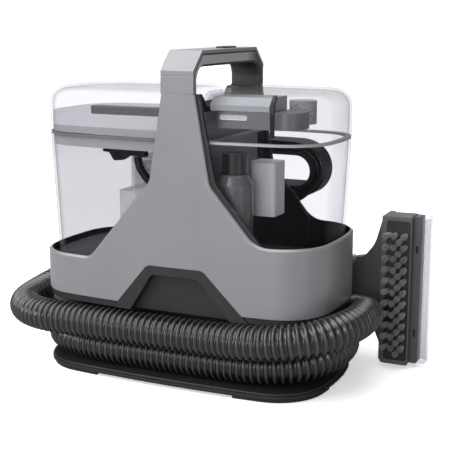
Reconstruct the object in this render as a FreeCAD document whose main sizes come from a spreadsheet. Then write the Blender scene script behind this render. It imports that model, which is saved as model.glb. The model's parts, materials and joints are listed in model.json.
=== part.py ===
"""Spot extractor with two clear tanks, a bridge handle, a wound suction hose and an upholstery tool.

All lengths are millimetres. X runs along the machine, Y from front to back and Z up. The origin is on
the floor below the middle of the handle.
"""
import FreeCAD, Part
import math
import os

import Sketcher
from FreeCAD import Placement, Rotation, Vector

doc = FreeCAD.newDocument("SpotExtractor")

# ---------------------------------------------------------------------------------------------------
# Driving dimensions
# ---------------------------------------------------------------------------------------------------
DRIVING = {
    # plan outline shared by belt, deck and trays: long and short half sizes and the arcs' radii
    "plan_centre_x": -19.0,
    "belt_half_length": 152.4,
    "belt_half_depth": 80.0,
    "plan_side_radius": 1100.0,
    "plan_end_radius": 300.0,
    "plan_corner_radius": 47.0,
    # heights, floor upwards
    "foot_height": 2.6,
    "plate_top": 9.0,
    "deck_bottom": 72.0,
    "belt_bottom": 78.7,
    "tray_top": 112.0,
    "tray_thickness": 3.8,
    "arch_top": 118.0,
    "recess_top": 109.3,
    "left_belt_top": 118.8,
    "right_belt_top": 144.0,
    "knee_height": 197.8,
    "tank_seam": 238.0,
    "post_seam": 279.9,
    "tank_top": 281.5,
    "handle_seam": 296.0,
    "chamfer_start": 300.7,
    "handle_top": 318.3,
    "grip_underside": 303.5,
    "tower_top": 262.0,
    # yoke
    "post_half_width": 16.65,
    "knee_half_width": 30.7,
    "wall": 3.0,
    "post_thickness": 8.5,
    # base
    "base_half_length": 151.5,
    "base_half_depth": 84.0,
    "drum_half_length": 128.0,
    "drum_half_depth": 43.5,
    # tanks
    "tank_low_half_length": 144.5,
    "tank_high_half_length": 150.0,
    "tank_low_half_depth": 69.0,
    "tank_high_half_depth": 71.0,
    "tank_corner_radius": 44.0,
    "tank_wall": 2.5,
    "tank_inner_face": 20.0,
    "lid_edge_radius": 17.0,
    # hose, wand and power cord
    "hose_diameter": 33.0,
    "wand_axis_y": 103.0,
    "wand_axis_z": 82.0,
    "cord_diameter": 6.2,
}

sheet = doc.addObject("Spreadsheet::Sheet", "Sizes")
for row, (alias, value) in enumerate(DRIVING.items(), start=1):
    sheet.set(f"A{row}", alias)
    sheet.set(f"B{row}", str(value))
    sheet.setAlias(f"B{row}", alias)
doc.recompute()


class Dim:
    """A length with its present value and the spreadsheet formula that gives it."""

    def __init__(self, value, formula):
        self.value = float(value)
        self.formula = formula

    def __add__(self, other):
        other = as_dim(other)
        return Dim(self.value + other.value, f"({self.formula} + {other.formula})")

    def __radd__(self, other):
        return as_dim(other) + self

    def __sub__(self, other):
        other = as_dim(other)
        return Dim(self.value - other.value, f"({self.formula} - {other.formula})")

    def __rsub__(self, other):
        return as_dim(other) - self

    def __mul__(self, factor):
        return Dim(self.value * factor, f"({self.formula} * {factor})")

    def __neg__(self):
        return self * -1


def as_dim(number):
    """Wrap a plain number so that it can stand beside spreadsheet cells."""
    return number if isinstance(number, Dim) else Dim(number, f"{number:.6g}")


def size(alias):
    """The Dim of one spreadsheet cell."""
    return Dim(DRIVING[alias], f"Sizes.{alias}")


def bind(target, path, dim):
    """Bind one property of a document object to a Dim."""
    target.setExpression(path, as_dim(dim).formula)


# ---------------------------------------------------------------------------------------------------
# Bodies, sketches and features
# ---------------------------------------------------------------------------------------------------
PARTS = []


def new_body(name, x=0, y=0, z=0):
    """A PartDesign body that is one sub-part, placed by bound coordinates."""
    body = doc.addObject("PartDesign::Body", name)
    body.Label = name
    body.AllowCompound = True
    for letter, dim in zip("xyz", (x, y, z)):
        bind(body, f".Placement.Base.{letter}", dim)
    PARTS.append(body)
    return body


def new_sketch(body, plane="XY_Plane", offset=0, name="outline"):
    """A sketch on one of the body's own origin planes, moved along the plane's normal."""
    sketch = body.newObject("Sketcher::SketchObject", name)
    support = [item for item in body.Origin.OriginFeatures if item.Role == plane][0]
    sketch.AttachmentSupport = [(support, "")]
    sketch.MapMode = "FlatFace"
    bind(sketch, ".AttachmentOffset.Base.z", offset)
    return sketch


def constrain(sketch, kind, *items, dim=None):
    """Add one constraint, and bind its value when it has one."""
    if dim is None:
        return sketch.addConstraint(Sketcher.Constraint(kind, *items))
    dim = as_dim(dim)
    index = sketch.addConstraint(Sketcher.Constraint(kind, *items, dim.value))
    sketch.setExpression(f"Constraints[{index}]", dim.formula)
    return index


def pin_point(sketch, geometry, position, x, y):
    """Fix a sketch point at bound coordinates; a coordinate of zero lies on the axis."""
    for kind, axis, value in (("DistanceX", -2, as_dim(x)), ("DistanceY", -1, as_dim(y))):
        if abs(value.value) < 1e-9:
            constrain(sketch, "PointOnObject", geometry, position, axis)
        else:
            constrain(sketch, kind, -1, 1, geometry, position, dim=value)


def circle(sketch, x, y, radius):
    """A circle with a bound centre and radius."""
    x, y, radius = as_dim(x), as_dim(y), as_dim(radius)
    centre = Vector(x.value, y.value, 0)
    index = sketch.addGeometry(Part.Circle(centre, Vector(0, 0, 1), radius.value), False)
    pin_point(sketch, index, 3, x, y)
    constrain(sketch, "Radius", index, dim=radius)


def polygon(sketch, corners):
    """A closed outline of straight sides; a corner is (x, y) or (x, y, radius) when it is rounded."""
    corners = [tuple(as_dim(value) for value in corner) for corner in corners]
    spots = [Vector(corner[0].value, corner[1].value, 0) for corner in corners]
    count = len(corners)
    ends = []
    for index, corner in enumerate(corners):
        here, before, after = spots[index], spots[index - 1], spots[(index + 1) % count]
        to_before = (before - here).normalize()
        to_after = (after - here).normalize()
        if len(corner) < 3:
            ends.append((here, here, None))
            continue
        half = to_before.getAngle(to_after) / 2
        reach = corner[2].value / math.tan(half)
        start = here + to_before * reach
        stop = here + to_after * reach
        middle_line = (to_before + to_after).normalize()
        centre = here + middle_line * (corner[2].value / math.sin(half))
        middle = centre - middle_line * corner[2].value
        ends.append((start, stop, middle))
    lines = [
        sketch.addGeometry(Part.LineSegment(ends[i][1], ends[(i + 1) % count][0]), False)
        for i in range(count)
    ]
    points = [sketch.addGeometry(Part.Point(spot), True) for spot in spots]
    for index, corner in enumerate(corners):
        line_in, line_out = lines[index - 1], lines[index]
        pin_point(sketch, points[index], 1, corner[0], corner[1])
        if ends[index][2] is None:
            constrain(sketch, "Coincident", line_in, 2, points[index], 1)
            constrain(sketch, "Coincident", line_out, 1, points[index], 1)
            continue
        start, stop, middle = ends[index]
        arc = sketch.addGeometry(Part.Arc(start, middle, stop), False)
        first, last = nearest_ends(sketch, arc, start)
        constrain(sketch, "Tangent", line_in, 2, arc, first)
        constrain(sketch, "Tangent", arc, last, line_out, 1)
        constrain(sketch, "Radius", arc, dim=corner[2])
        constrain(sketch, "PointOnObject", points[index], 1, line_in)
        constrain(sketch, "PointOnObject", points[index], 1, line_out)


def nearest_ends(sketch, arc, start):
    """Position numbers of an arc's ends, the one at start first."""
    at_start = (sketch.getPoint(arc, 1) - start).Length < 1e-6
    return (1, 2) if at_start else (2, 1)


def rectangle(sketch, x0, x1, y0, y1, radius=None):
    """An upright rectangle between bound limits."""
    spots = [(x0, y0), (x1, y0), (x1, y1), (x0, y1)]
    polygon(sketch, [spot if radius is None else spot + (radius,) for spot in spots])


class Plan:
    """An oval outline of a side arc, an end arc and a corner arc in each quarter."""

    def __init__(self, half_length, half_depth, side, end, corner):
        self.half_length, self.half_depth = as_dim(half_length), as_dim(half_depth)
        self.side, self.end, self.corner = as_dim(side), as_dim(end), as_dim(corner)

    def inset(self, distance):
        """The parallel outline that lies inside this one."""
        return Plan(
            self.half_length - distance,
            self.half_depth - distance,
            self.side - distance,
            self.end - distance,
            self.corner - distance,
        )

    def corner_centre(self):
        """Centre of the corner arc that touches the side arc and the end arc."""
        side_y = self.half_depth.value - self.side.value
        end_x = self.half_length.value - self.end.value
        side_reach = self.side.value - self.corner.value
        end_reach = self.end.value - self.corner.value
        span = math.hypot(end_x, side_y)
        along = (side_reach**2 - end_reach**2 + span**2) / (2 * span)
        across = math.sqrt(side_reach**2 - along**2)
        unit_x, unit_y = end_x / span, -side_y / span
        return along * unit_x + across * unit_y, side_y + along * unit_y - across * unit_x

    def joints(self):
        """Where the corner arc meets the end arc, and where it meets the side arc."""
        x, y = self.corner_centre()
        side_y = self.half_depth.value - self.side.value
        end_x = self.half_length.value - self.end.value
        end_angle = math.atan2(y, x - end_x)
        side_angle = math.atan2(y - side_y, x)
        radius = self.corner.value
        at_end = (x + radius * math.cos(end_angle), y + radius * math.sin(end_angle))
        at_side = (x + radius * math.cos(side_angle), y + radius * math.sin(side_angle))
        return at_end, at_side


def add_arc(sketch, centre, start, stop):
    """An anticlockwise arc round a centre from one point to another."""
    radius = math.hypot(start[0] - centre[0], start[1] - centre[1])
    first = math.atan2(start[1] - centre[1], start[0] - centre[0])
    last = math.atan2(stop[1] - centre[1], stop[0] - centre[0])
    ring = Part.Circle(Vector(centre[0], centre[1], 0), Vector(0, 0, 1), radius)
    return sketch.addGeometry(Part.ArcOfCircle(ring, first, last), False)


def pin_centre(sketch, arc, plan, kind, sign):
    """Hold a side or end arc's centre on its axis, at its radius inside the outline."""
    if kind == "end":
        constrain(sketch, "PointOnObject", arc, 3, -1)
        constrain(sketch, "DistanceX", -1, 1, arc, 3, dim=(plan.half_length - plan.end) * sign)
        constrain(sketch, "Radius", arc, dim=plan.end)
    else:
        constrain(sketch, "PointOnObject", arc, 3, -2)
        constrain(sketch, "DistanceY", -1, 1, arc, 3, dim=(plan.half_depth - plan.side) * sign)
        constrain(sketch, "Radius", arc, dim=plan.side)


def oval(sketch, plan):
    """The whole plan outline, eight tangent arcs."""
    (ex, ey), (sx, sy) = plan.joints()
    cx, cy = plan.corner_centre()
    end_x = plan.half_length.value - plan.end.value
    side_y = plan.half_depth.value - plan.side.value
    arcs = [
        ("end", 1, (end_x, 0), (ex, -ey), (ex, ey)),
        ("corner", 1, (cx, cy), (ex, ey), (sx, sy)),
        ("side", 1, (0, side_y), (sx, sy), (-sx, sy)),
        ("corner", 1, (-cx, cy), (-sx, sy), (-ex, ey)),
        ("end", -1, (-end_x, 0), (-ex, ey), (-ex, -ey)),
        ("corner", 1, (-cx, -cy), (-ex, -ey), (-sx, -sy)),
        ("side", -1, (0, -side_y), (-sx, -sy), (sx, -sy)),
        ("corner", 1, (cx, -cy), (sx, -sy), (ex, -ey)),
    ]
    made = [add_arc(sketch, centre, start, stop) for _, _, centre, start, stop in arcs]
    for index, (kind, sign, *_) in enumerate(arcs):
        constrain(sketch, "Tangent", made[index - 1], 2, made[index], 1)
        if kind == "corner":
            constrain(sketch, "Radius", made[index], dim=plan.corner)
        else:
            pin_centre(sketch, made[index], plan, kind, sign)


def half_oval(sketch, plan, cut, side):
    """The end of a plan outline beyond a straight cut at x = cut; side is 1 for right, -1 for left."""
    (ex, ey), (sx, sy) = plan.joints()
    cx, cy = plan.corner_centre()
    cut = as_dim(cut)
    end_x = plan.half_length.value - plan.end.value
    side_y = plan.half_depth.value - plan.side.value
    cut_y = side_y + math.sqrt(plan.side.value**2 - cut.value**2)
    low, high = (cut.value, -cut_y), (cut.value, cut_y)
    if side > 0:
        arcs = [
            ("side", -1, (0, -side_y), low, (sx, -sy)),
            ("corner", 1, (cx, -cy), (sx, -sy), (ex, -ey)),
            ("end", 1, (end_x, 0), (ex, -ey), (ex, ey)),
            ("corner", 1, (cx, cy), (ex, ey), (sx, sy)),
            ("side", 1, (0, side_y), (sx, sy), high),
        ]
    else:
        arcs = [
            ("side", 1, (0, side_y), high, (-sx, sy)),
            ("corner", 1, (-cx, cy), (-sx, sy), (-ex, ey)),
            ("end", -1, (-end_x, 0), (-ex, ey), (-ex, -ey)),
            ("corner", 1, (-cx, -cy), (-ex, -ey), (-sx, -sy)),
            ("side", -1, (0, -side_y), (-sx, -sy), low),
        ]
    made = [add_arc(sketch, centre, start, stop) for _, _, centre, start, stop in arcs]
    for index, (kind, sign, *_) in enumerate(arcs):
        if index:
            constrain(sketch, "Tangent", made[index - 1], 2, made[index], 1)
        if kind == "corner":
            constrain(sketch, "Radius", made[index], dim=plan.corner)
        else:
            pin_centre(sketch, made[index], plan, kind, sign)
    first, last = (high, low) if side > 0 else (low, high)
    line = sketch.addGeometry(Part.LineSegment(Vector(*first, 0), Vector(*last, 0)), False)
    constrain(sketch, "Coincident", made[-1], 2, line, 1)
    constrain(sketch, "Coincident", line, 2, made[0], 1)
    constrain(sketch, "Vertical", line)
    constrain(sketch, "DistanceX", -1, 1, line, 1, dim=cut)


def feature(body, kind, sketch, name):
    """A sketch-based feature with its profile set."""
    item = body.newObject(f"PartDesign::{kind}", name)
    item.Profile = sketch
    sketch.Visibility = False
    return item


def pad(body, sketch, length, midplane=False, flip=False):
    """Raise a sketch by a bound length."""
    item = feature(body, "Pad", sketch, "pad")
    bind(item, "Length", length)
    item.Midplane = midplane
    item.Reversed = flip
    doc.recompute()
    return item


def pocket(body, sketch, length, midplane=False, flip=False):
    """Cut a sketch into the body by a bound length, and stop if nothing was removed."""
    doc.recompute()
    before = body.Shape.Volume
    item = feature(body, "Pocket", sketch, "pocket")
    bind(item, "Length", length)
    item.Midplane = midplane
    item.Reversed = flip
    doc.recompute()
    if not body.Shape.Volume < before - 0.01:
        raise RuntimeError(f"a pocket in {body.Label} removes nothing")
    return item


def revolve(body, sketch, axis="V_Axis", cut=False):
    """Turn a sketch all the way round one of its own axes."""
    item = feature(body, "Groove" if cut else "Revolution", sketch, "turn")
    item.ReferenceAxis = (sketch, [axis])
    item.Angle = 360
    doc.recompute()
    return item


def loft(body, low, high, cut=False):
    """Join two sketches with ruled sides."""
    item = feature(body, "SubtractiveLoft" if cut else "AdditiveLoft", low, "loft")
    item.Sections = [high]
    item.Ruled = True
    high.Visibility = False
    doc.recompute()
    return item


def edge_names(shape, keep):
    """Names of the edges that a test keeps."""
    return [f"Edge{i}" for i, edge in enumerate(shape.Edges, start=1) if keep(edge)]


def soften(body, kind, amount, keep):
    """Fillet or chamfer the edges of the body's tip that a test keeps."""
    doc.recompute()
    base = body.Tip
    item = body.newObject(f"PartDesign::{kind}", kind.lower())
    item.Base = (base, edge_names(base.Shape, keep))
    bind(item, "Radius" if kind == "Fillet" else "Size", amount)
    doc.recompute()
    return item


def at_height(height, outer_only=None):
    """A test for edges that lie flat at one height of the body's own frame."""

    def keep(edge):
        box = edge.BoundBox
        level = abs(box.ZMin - height) < 0.01 and abs(box.ZMax - height) < 0.01
        return level and (outer_only is None or outer_only(edge))

    return keep


def spread(count, start, stop):
    """Evenly spaced numbers from start to stop."""
    return [start + (stop - start) * index / (count - 1) for index in range(count)]


def solid_part(name, shape, place=(0, 0, 0)):
    """A Part feature for a sub-part that has no sketch-based form."""
    item = doc.addObject("Part::Feature", name)
    item.Label = name
    item.Shape = shape
    item.Placement = Placement(Vector(*place), Rotation())
    PARTS.append(item)
    return item


def group(name, *members):
    """Pieces of one kind, or pieces fixed to each other, that share a sub-part as separate solids."""
    item = doc.addObject("Part::Compound", name)
    item.Label = name
    item.Links = list(members)
    for member in members:
        PARTS.remove(member)
    PARTS.append(item)
    doc.recompute()
    return item


# ---------------------------------------------------------------------------------------------------
# Shared outlines
# ---------------------------------------------------------------------------------------------------
CENTRE_X = size("plan_centre_x")
BELT = Plan(
    size("belt_half_length"),
    size("belt_half_depth"),
    size("plan_side_radius"),
    size("plan_end_radius"),
    size("plan_corner_radius"),
)
BASE = Plan(size("base_half_length"), size("base_half_depth"), 1300, 240, 52)
DRUM = Plan(size("drum_half_length"), size("drum_half_depth"), 1500, 110, 34)
TANK_LOW = Plan(
    size("tank_low_half_length"), size("tank_low_half_depth"), 1100, 300, size("tank_corner_radius")
)
TANK_HIGH = Plan(
    size("tank_high_half_length"), size("tank_high_half_depth"), 1100, 300, size("tank_corner_radius")
)
WALL = size("wall")
FAR = 400.0


def local_x(x):
    """An x coordinate as seen from a body that stands at the middle of the plan outline."""
    return as_dim(x) - CENTRE_X


# ---------------------------------------------------------------------------------------------------
# Base, drum and deck
# ---------------------------------------------------------------------------------------------------
def make_base_plate():
    """Flared plate with a groove round its rim, on which the lower hose turn lies."""
    body = new_body("base_plate", CENTRE_X, 0, size("foot_height"))
    top = size("plate_top") - size("foot_height")
    tiers = [(0, 3.8, 0), (3.8, 0.8, 1.8), (4.6, top - 4.6, 0.6)]
    for offset, height, step in tiers:
        sketch = new_sketch(body, offset=offset)
        oval(sketch, BASE.inset(step))
        pad(body, sketch, height)
    soften(body, "Fillet", 1.2, at_height(top.value))
    soften(body, "Fillet", 1.5, at_height(0))


def make_feet():
    """Four rubber pads that follow the corners of the plate."""
    body = new_body("rubber_feet", CENTRE_X, 0, 0)
    outline = new_sketch(body)
    oval(outline, BASE.inset(2))
    pad(body, outline, size("foot_height"))
    inside = new_sketch(body, offset=size("foot_height"))
    oval(inside, BASE.inset(18))
    pocket(body, inside, size("foot_height"))
    for half_x, half_y in ((74, FAR), (FAR, 20)):
        gap = new_sketch(body, offset=size("foot_height"))
        rectangle(gap, -half_x, half_x, -half_y, half_y)
        pocket(body, gap, size("foot_height"))


PORT_X, PORT_Z, PORT_RADIUS = 14.0, 27.0, 12.5
HOSE_GUARD = Plan(size("drum_half_length") + 26, size("drum_half_depth") + 12, 1500, 150, 46)
HOSE_GUARD_LEFT = Plan(size("drum_half_length") + 36, size("drum_half_depth") + 12, 1500, 150, 46)
HOSE_GUARD_Z, HOSE_GUARD_THICKNESS = 57.0, 3.0


def make_drum():
    """Hollow drum that the hose winds round; its guard, wider at the left, keeps the turns apart."""
    body = new_body("drum_housing", CENTRE_X, 0, size("plate_top"))
    height = size("deck_bottom") - size("plate_top")
    outline = new_sketch(body)
    oval(outline, DRUM)
    pad(body, outline, height)
    guard = new_sketch(body, offset=HOSE_GUARD_Z - size("plate_top"))
    oval(guard, HOSE_GUARD)
    pad(body, guard, HOSE_GUARD_THICKNESS)
    left_end = new_sketch(body, offset=HOSE_GUARD_Z - size("plate_top"))
    half_oval(left_end, HOSE_GUARD_LEFT, as_dim(0), -1)
    pad(body, left_end, HOSE_GUARD_THICKNESS)
    inside = new_sketch(body, offset=height)
    oval(inside, DRUM.inset(WALL))
    pocket(body, inside, height)
    port = new_sketch(body, "XZ_Plane")
    circle(port, local_x(PORT_X), PORT_Z - size("plate_top"), PORT_RADIUS)
    pocket(body, port, FAR)


ARCH_FOOT, ARCH_TOP, RECESS_TOP = size("deck_bottom"), size("arch_top"), size("recess_top")
ARCH_OUTLINE = [(-72.6, ARCH_FOOT), (69.5, ARCH_FOOT), (24.0, ARCH_TOP, 9.0), (-33.5, ARCH_TOP, 9.0)]
ARCH_RECESS = [(-53.5, ARCH_FOOT), (51.3, ARCH_FOOT), (19.5, RECESS_TOP, 6.0), (-29.5, RECESS_TOP, 6.0)]
ARCH_DEPTH = 13.5


def arch(sketch, corners, base_z, grow=0.0):
    """The trapezium of an arch seen from the front, wider and taller by a margin."""
    placed = []
    for corner in corners:
        side = 1 if corner[0] > 0 else -1
        x = local_x(corner[0] + side * grow * 1.4)
        z = (corner[1] if corner[1] is ARCH_FOOT else corner[1] + grow) - base_z
        placed.append((x, z) + tuple(corner[2:]))
    polygon(sketch, placed)


def make_deck():
    """Deck over the drum: a dark band under the belt and a wall inside it."""
    body = new_body("chassis_deck", CENTRE_X, 0, size("deck_bottom"))
    band = size("belt_bottom") - size("deck_bottom") - 0.4
    wall_top = size("tray_top") - size("deck_bottom") - 3.9
    low = new_sketch(body)
    oval(low, BELT.inset(1.6))
    pad(body, low, band)
    high = new_sketch(body, offset=band)
    oval(high, BELT.inset(WALL + 0.4))
    pad(body, high, wall_top - band)
    inside = new_sketch(body, offset=wall_top)
    oval(inside, BELT.inset(WALL * 2 + 0.4))
    pocket(body, inside, wall_top - 4)
    opening = new_sketch(body, offset=wall_top)
    oval(opening, DRUM.inset(WALL))
    pocket(body, opening, wall_top)
    for side in (1, -1):
        notch = new_sketch(body, "XZ_Plane", offset=size("belt_half_depth") * side)
        arch(notch, ARCH_OUTLINE, size("deck_bottom"), grow=0.6)
        pocket(body, notch, (ARCH_DEPTH + 5) * 2, midplane=True)


def belt_panel(name, side, outer_inset, inner_inset, low, high):
    """A wall that runs along one long side of the belt outline, between two insets and two heights."""
    body = new_body(name, CENTRE_X, 0, low)
    height = as_dim(high) - low
    outline = new_sketch(body)
    oval(outline, BELT.inset(outer_inset))
    pad(body, outline, height)
    inside = new_sketch(body, offset=height)
    oval(inside, BELT.inset(inner_inset))
    pocket(body, inside, height)
    other_half = new_sketch(body, offset=height)
    rectangle(other_half, -FAR, FAR, *((0, FAR) if side > 0 else (-FAR, 0)))
    pocket(body, other_half, height)
    return body


def make_arch_panels():
    """Dark panels in the belt's two arches: the front one is recessed, the rear one has louvres."""
    bottom = size("deck_bottom")
    pair = []
    for name, side in (("front_panel", 1), ("rear_panel", -1)):
        body = belt_panel(name, side, 0.4, ARCH_DEPTH, bottom, ARCH_TOP)
        around = new_sketch(body, "XZ_Plane")
        rectangle(around, -FAR, FAR, -50, 90)
        arch(around, ARCH_OUTLINE, bottom)
        pocket(body, around, 2 * FAR, midplane=True)
        recess_y = (size("belt_half_depth") - ARCH_DEPTH + 3.5) * side
        recess = new_sketch(body, "XZ_Plane", offset=recess_y)
        arch(recess, ARCH_RECESS, bottom)
        pocket(body, recess, 30, flip=side > 0)
        behind = new_sketch(body, offset=ARCH_TOP - bottom)
        oval(behind, BELT.inset(WALL - 0.1))
        pocket(body, behind, 10.2)
        pair.append(body)
    louvres = new_sketch(pair[1], "XZ_Plane")
    for index in range(5):
        low = as_dim(84.0 + 4.8 * index) - bottom
        rectangle(louvres, local_x(-22), local_x(14), low, low + 2.4)
    pocket(pair[1], louvres, FAR)
    group("arch_panels", *pair)


# ---------------------------------------------------------------------------------------------------
# Grey shell with its yokes, and what lines it
# ---------------------------------------------------------------------------------------------------
LEFT_FOOT_X = -99.5
RIGHT_FOOT_X = 75.5


def make_main_shell():
    """Belt and yokes in one moulding: an oval wall with both ends cut down and the arches cut out."""
    body = new_body("main_shell", CENTRE_X, 0, size("belt_bottom"))
    height = size("post_seam") - size("belt_bottom")
    outline = new_sketch(body)
    oval(outline, BELT)
    pad(body, outline, height)
    inside = new_sketch(body, offset=height)
    oval(inside, BELT.inset(WALL))
    pocket(body, inside, height)
    for side, belt_top, foot_x, radius in (
        (-1, size("left_belt_top"), LEFT_FOOT_X, 14.0),
        (1, size("right_belt_top"), RIGHT_FOOT_X, 26.0),
    ):
        opening = new_sketch(body, "XZ_Plane")
        post_x = local_x(size("post_half_width") * side)
        corners = [
            (post_x, height + 1),
            (post_x, height),
            (local_x(size("knee_half_width") * side), size("knee_height") - size("belt_bottom"), 14.0),
            (local_x(foot_x), belt_top - size("belt_bottom"), radius),
            (side * FAR, belt_top - size("belt_bottom")),
            (side * FAR, height + 1),
        ]
        polygon(opening, corners)
        pocket(body, opening, 2 * FAR, midplane=True)
    notch = new_sketch(body, "XZ_Plane")
    arch(notch, ARCH_OUTLINE, size("belt_bottom"), grow=0.2)
    pocket(body, notch, 2 * FAR, midplane=True)
    for belt_top in ("left_belt_top", "right_belt_top"):
        level = (size(belt_top) - size("belt_bottom")).value
        soften(body, "Chamfer", 1.6, at_height(level, outer_edge(body.Tip.Shape)))


def outer_edge(shape):
    """A test for edges on the outside of a ring-shaped wall."""

    def keep(edge):
        middle = edge.valueAt((edge.FirstParameter + edge.LastParameter) / 2)
        inward = Vector(middle.x * 0.99, middle.y * 0.99, middle.z - 0.5)
        outward = Vector(middle.x * 1.01, middle.y * 1.01, middle.z - 0.5)
        return shape.isInside(inward, 0.01, True) and not shape.isInside(outward, 0.01, True)

    return keep


LINER_THICKNESS = 4.8


def make_yoke_liner(name, side, lip):
    """Black panel behind a yoke, flush with its left edge and with a lip beyond its right edge."""
    low = size("tray_top") + 0.2
    high = size("post_seam")
    body = belt_panel(name, side, WALL + 0.2, WALL + LINER_THICKNESS, low, high)
    around = new_sketch(body, "XZ_Plane")
    rectangle(around, -FAR, FAR, -FAR, FAR)
    corners = [
        (-size("post_half_width"), high + 5),
        (-size("post_half_width"), high),
        (-size("knee_half_width"), size("knee_height"), 14.0),
        (LEFT_FOOT_X + 5, size("left_belt_top") + 5),
        (LEFT_FOOT_X + 5, low - 5),
        (RIGHT_FOOT_X - 1 + lip, low - 5),
        (RIGHT_FOOT_X - 1 + lip, size("right_belt_top") + 1),
        (size("knee_half_width") + lip, size("knee_height") + lip / 2, 14.0),
        (size("post_half_width") + lip * 0.7, high),
        (size("post_half_width") + lip * 0.7, high + 5),
    ]
    polygon(around, [(local_x(corner[0]), as_dim(corner[1]) - low, *corner[2:]) for corner in corners])
    pocket(body, around, 2 * FAR, midplane=True)
    return body


TOWER_HALF_WIDTH = 16.0
TOWER_HALF_DEPTH = 71.0


def make_tray(name, side, well_x):
    """Black floor that one tank stands on, with a well for the tank's outlet."""
    body = new_body(name, CENTRE_X, 0, size("tray_top") - size("tray_thickness"))
    outline = new_sketch(body)
    half_oval(outline, BELT.inset(WALL + 0.3), local_x(side * (TOWER_HALF_WIDTH + 0.3)), side)
    pad(body, outline, size("tray_thickness"))
    well = new_sketch(body, offset=size("tray_thickness"))
    circle(well, local_x(well_x), 0, 9)
    pocket(body, well, 2.2)
    return body


def make_tower():
    """Hollow tower between the tanks, and the cap with a finger trough that closes it."""
    bottom, top = size("tray_top") - size("tray_thickness"), size("tower_top")
    body = new_body("centre_tower", 0, 0, bottom)
    height = top - bottom
    outline = new_sketch(body)
    half_w, half_d = TOWER_HALF_WIDTH, TOWER_HALF_DEPTH
    rectangle(outline, -half_w, half_w, -half_d, half_d, 5)
    pad(body, outline, height)
    inside = new_sketch(body)
    rectangle(inside, -half_w + 2.5, half_w - 2.5, -half_d + 2.5, half_d - 2.5, 3)
    pocket(body, inside, height - 2.5, flip=True)
    cap = new_body("tower_cap")
    side_view = new_sketch(cap, "YZ_Plane")
    corners = [(-half_d, top + 0.1), (half_d, top + 0.1), (half_d, top + 17), (61, top + 17)]
    corners += [(50, top + 5, 6), (-50, top + 5, 6), (-61, top + 17), (-half_d, top + 17)]
    polygon(side_view, corners)
    pad(cap, side_view, half_w * 2, midplane=True)


# ---------------------------------------------------------------------------------------------------
# Bridge handle
# ---------------------------------------------------------------------------------------------------
def bridge_line(depth):
    """Front-to-rear points of the handle's outside, moved inwards by a depth."""
    corner_shift = depth * math.tan(math.radians(21.0))
    side = size("belt_half_depth") - depth
    chamfer_low = size("chamfer_start") - corner_shift
    top = size("handle_top") - depth
    chamfer_in = size("belt_half_depth") - (size("handle_top") - size("chamfer_start")) * 1.06
    top_y = chamfer_in - corner_shift
    return side, chamfer_low, top_y, top


def bridge_layer(name, start, stop, bottom, half_width):
    """One layer of the handle between two depths from its outside, as a C-shaped prism."""
    body = new_body(name)
    sketch = new_sketch(body, "YZ_Plane")
    side, low, top_y, top = bridge_line(start)
    inner_side, inner_low, inner_top_y, inner_top = bridge_line(stop)
    corners = [
        (-side, bottom), (-side, low), (-top_y, top), (top_y, top), (side, low), (side, bottom),
        (inner_side, bottom), (inner_side, inner_low), (inner_top_y, inner_top),
        (-inner_top_y, inner_top), (-inner_side, inner_low), (-inner_side, bottom),
    ]
    polygon(sketch, corners)
    pad(body, sketch, half_width * 2, midplane=True)
    return body


BUTTON_Y = 25.0
BUTTON_HALF = (6.5, 15.0)
BUTTON_BASE = 312.2
SKIN, BAND = 3.0, 4.6


def button_hole(body, top, depth, clearance):
    """Rounded opening for the power button, cut down from a height."""
    sketch = new_sketch(body, offset=top)
    half_x, half_y = BUTTON_HALF[0] + clearance, BUTTON_HALF[1] + clearance
    rectangle(sketch, -half_x, half_x, BUTTON_Y - half_y, BUTTON_Y + half_y, half_x - 0.1)
    pocket(body, sketch, depth)


def make_handle():
    """Outer skin, dark band and light inner core of the bridge handle, with its two post collars."""
    half = size("post_half_width")
    skin = bridge_layer("handle_skin", 0, SKIN, size("handle_seam") + 0.1, half)
    button_hole(skin, size("handle_top"), 8, 0.35)
    band = bridge_layer("handle_band", SKIN, BAND, size("post_seam") + 0.1, half - 0.2)
    button_hole(band, size("handle_top"), 9, 0.35)
    core = new_body("handle_core")
    sketch = new_sketch(core, "YZ_Plane")
    side, low, top_y, top = bridge_line(BAND)
    inner = size("belt_half_depth") - size("post_thickness")
    bottom = size("post_seam") + 0.1
    corners = [
        (-side, bottom), (-side, low), (-top_y, top), (top_y, top), (side, low), (side, bottom),
        (inner, bottom), (inner, size("grip_underside"), 15), (-inner, size("grip_underside"), 15),
        (-inner, bottom),
    ]
    polygon(sketch, corners)
    pad(core, sketch, (half - 0.1) * 2, midplane=True)
    button_hole(core, size("handle_top"), 11.6, 0.6)
    inner_side = (size("belt_half_depth") - size("post_thickness")).value
    flank = (half - 0.1).value

    def inner_rim(edge):
        box = edge.BoundBox
        on_flank = abs(abs(box.XMin) - flank) < 0.01 and abs(abs(box.XMax) - flank) < 0.01
        inside = max(abs(box.YMin), abs(box.YMax)) < inner_side + 0.01
        return on_flank and box.XLength < 0.01 and inside and box.ZMax < 303.6 and edge.Length > 5

    soften(core, "Chamfer", 2.2, inner_rim)
    collars = []
    for name, direction in (("front_collar", -1), ("rear_collar", 1)):
        collar = new_body(name)
        outline = new_sketch(collar, offset=size("post_seam") + 0.1)
        outer_y, inner_y = size("belt_half_depth") * direction, (size("belt_half_depth") - SKIN) * direction
        low_y, high_y = (outer_y, inner_y) if direction < 0 else (inner_y, outer_y)
        rectangle(outline, -half, half, low_y, high_y)
        pad(collar, outline, size("handle_seam") - size("post_seam") - 0.2)
        collars.append(collar)
    group("post_collars", *collars)


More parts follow.
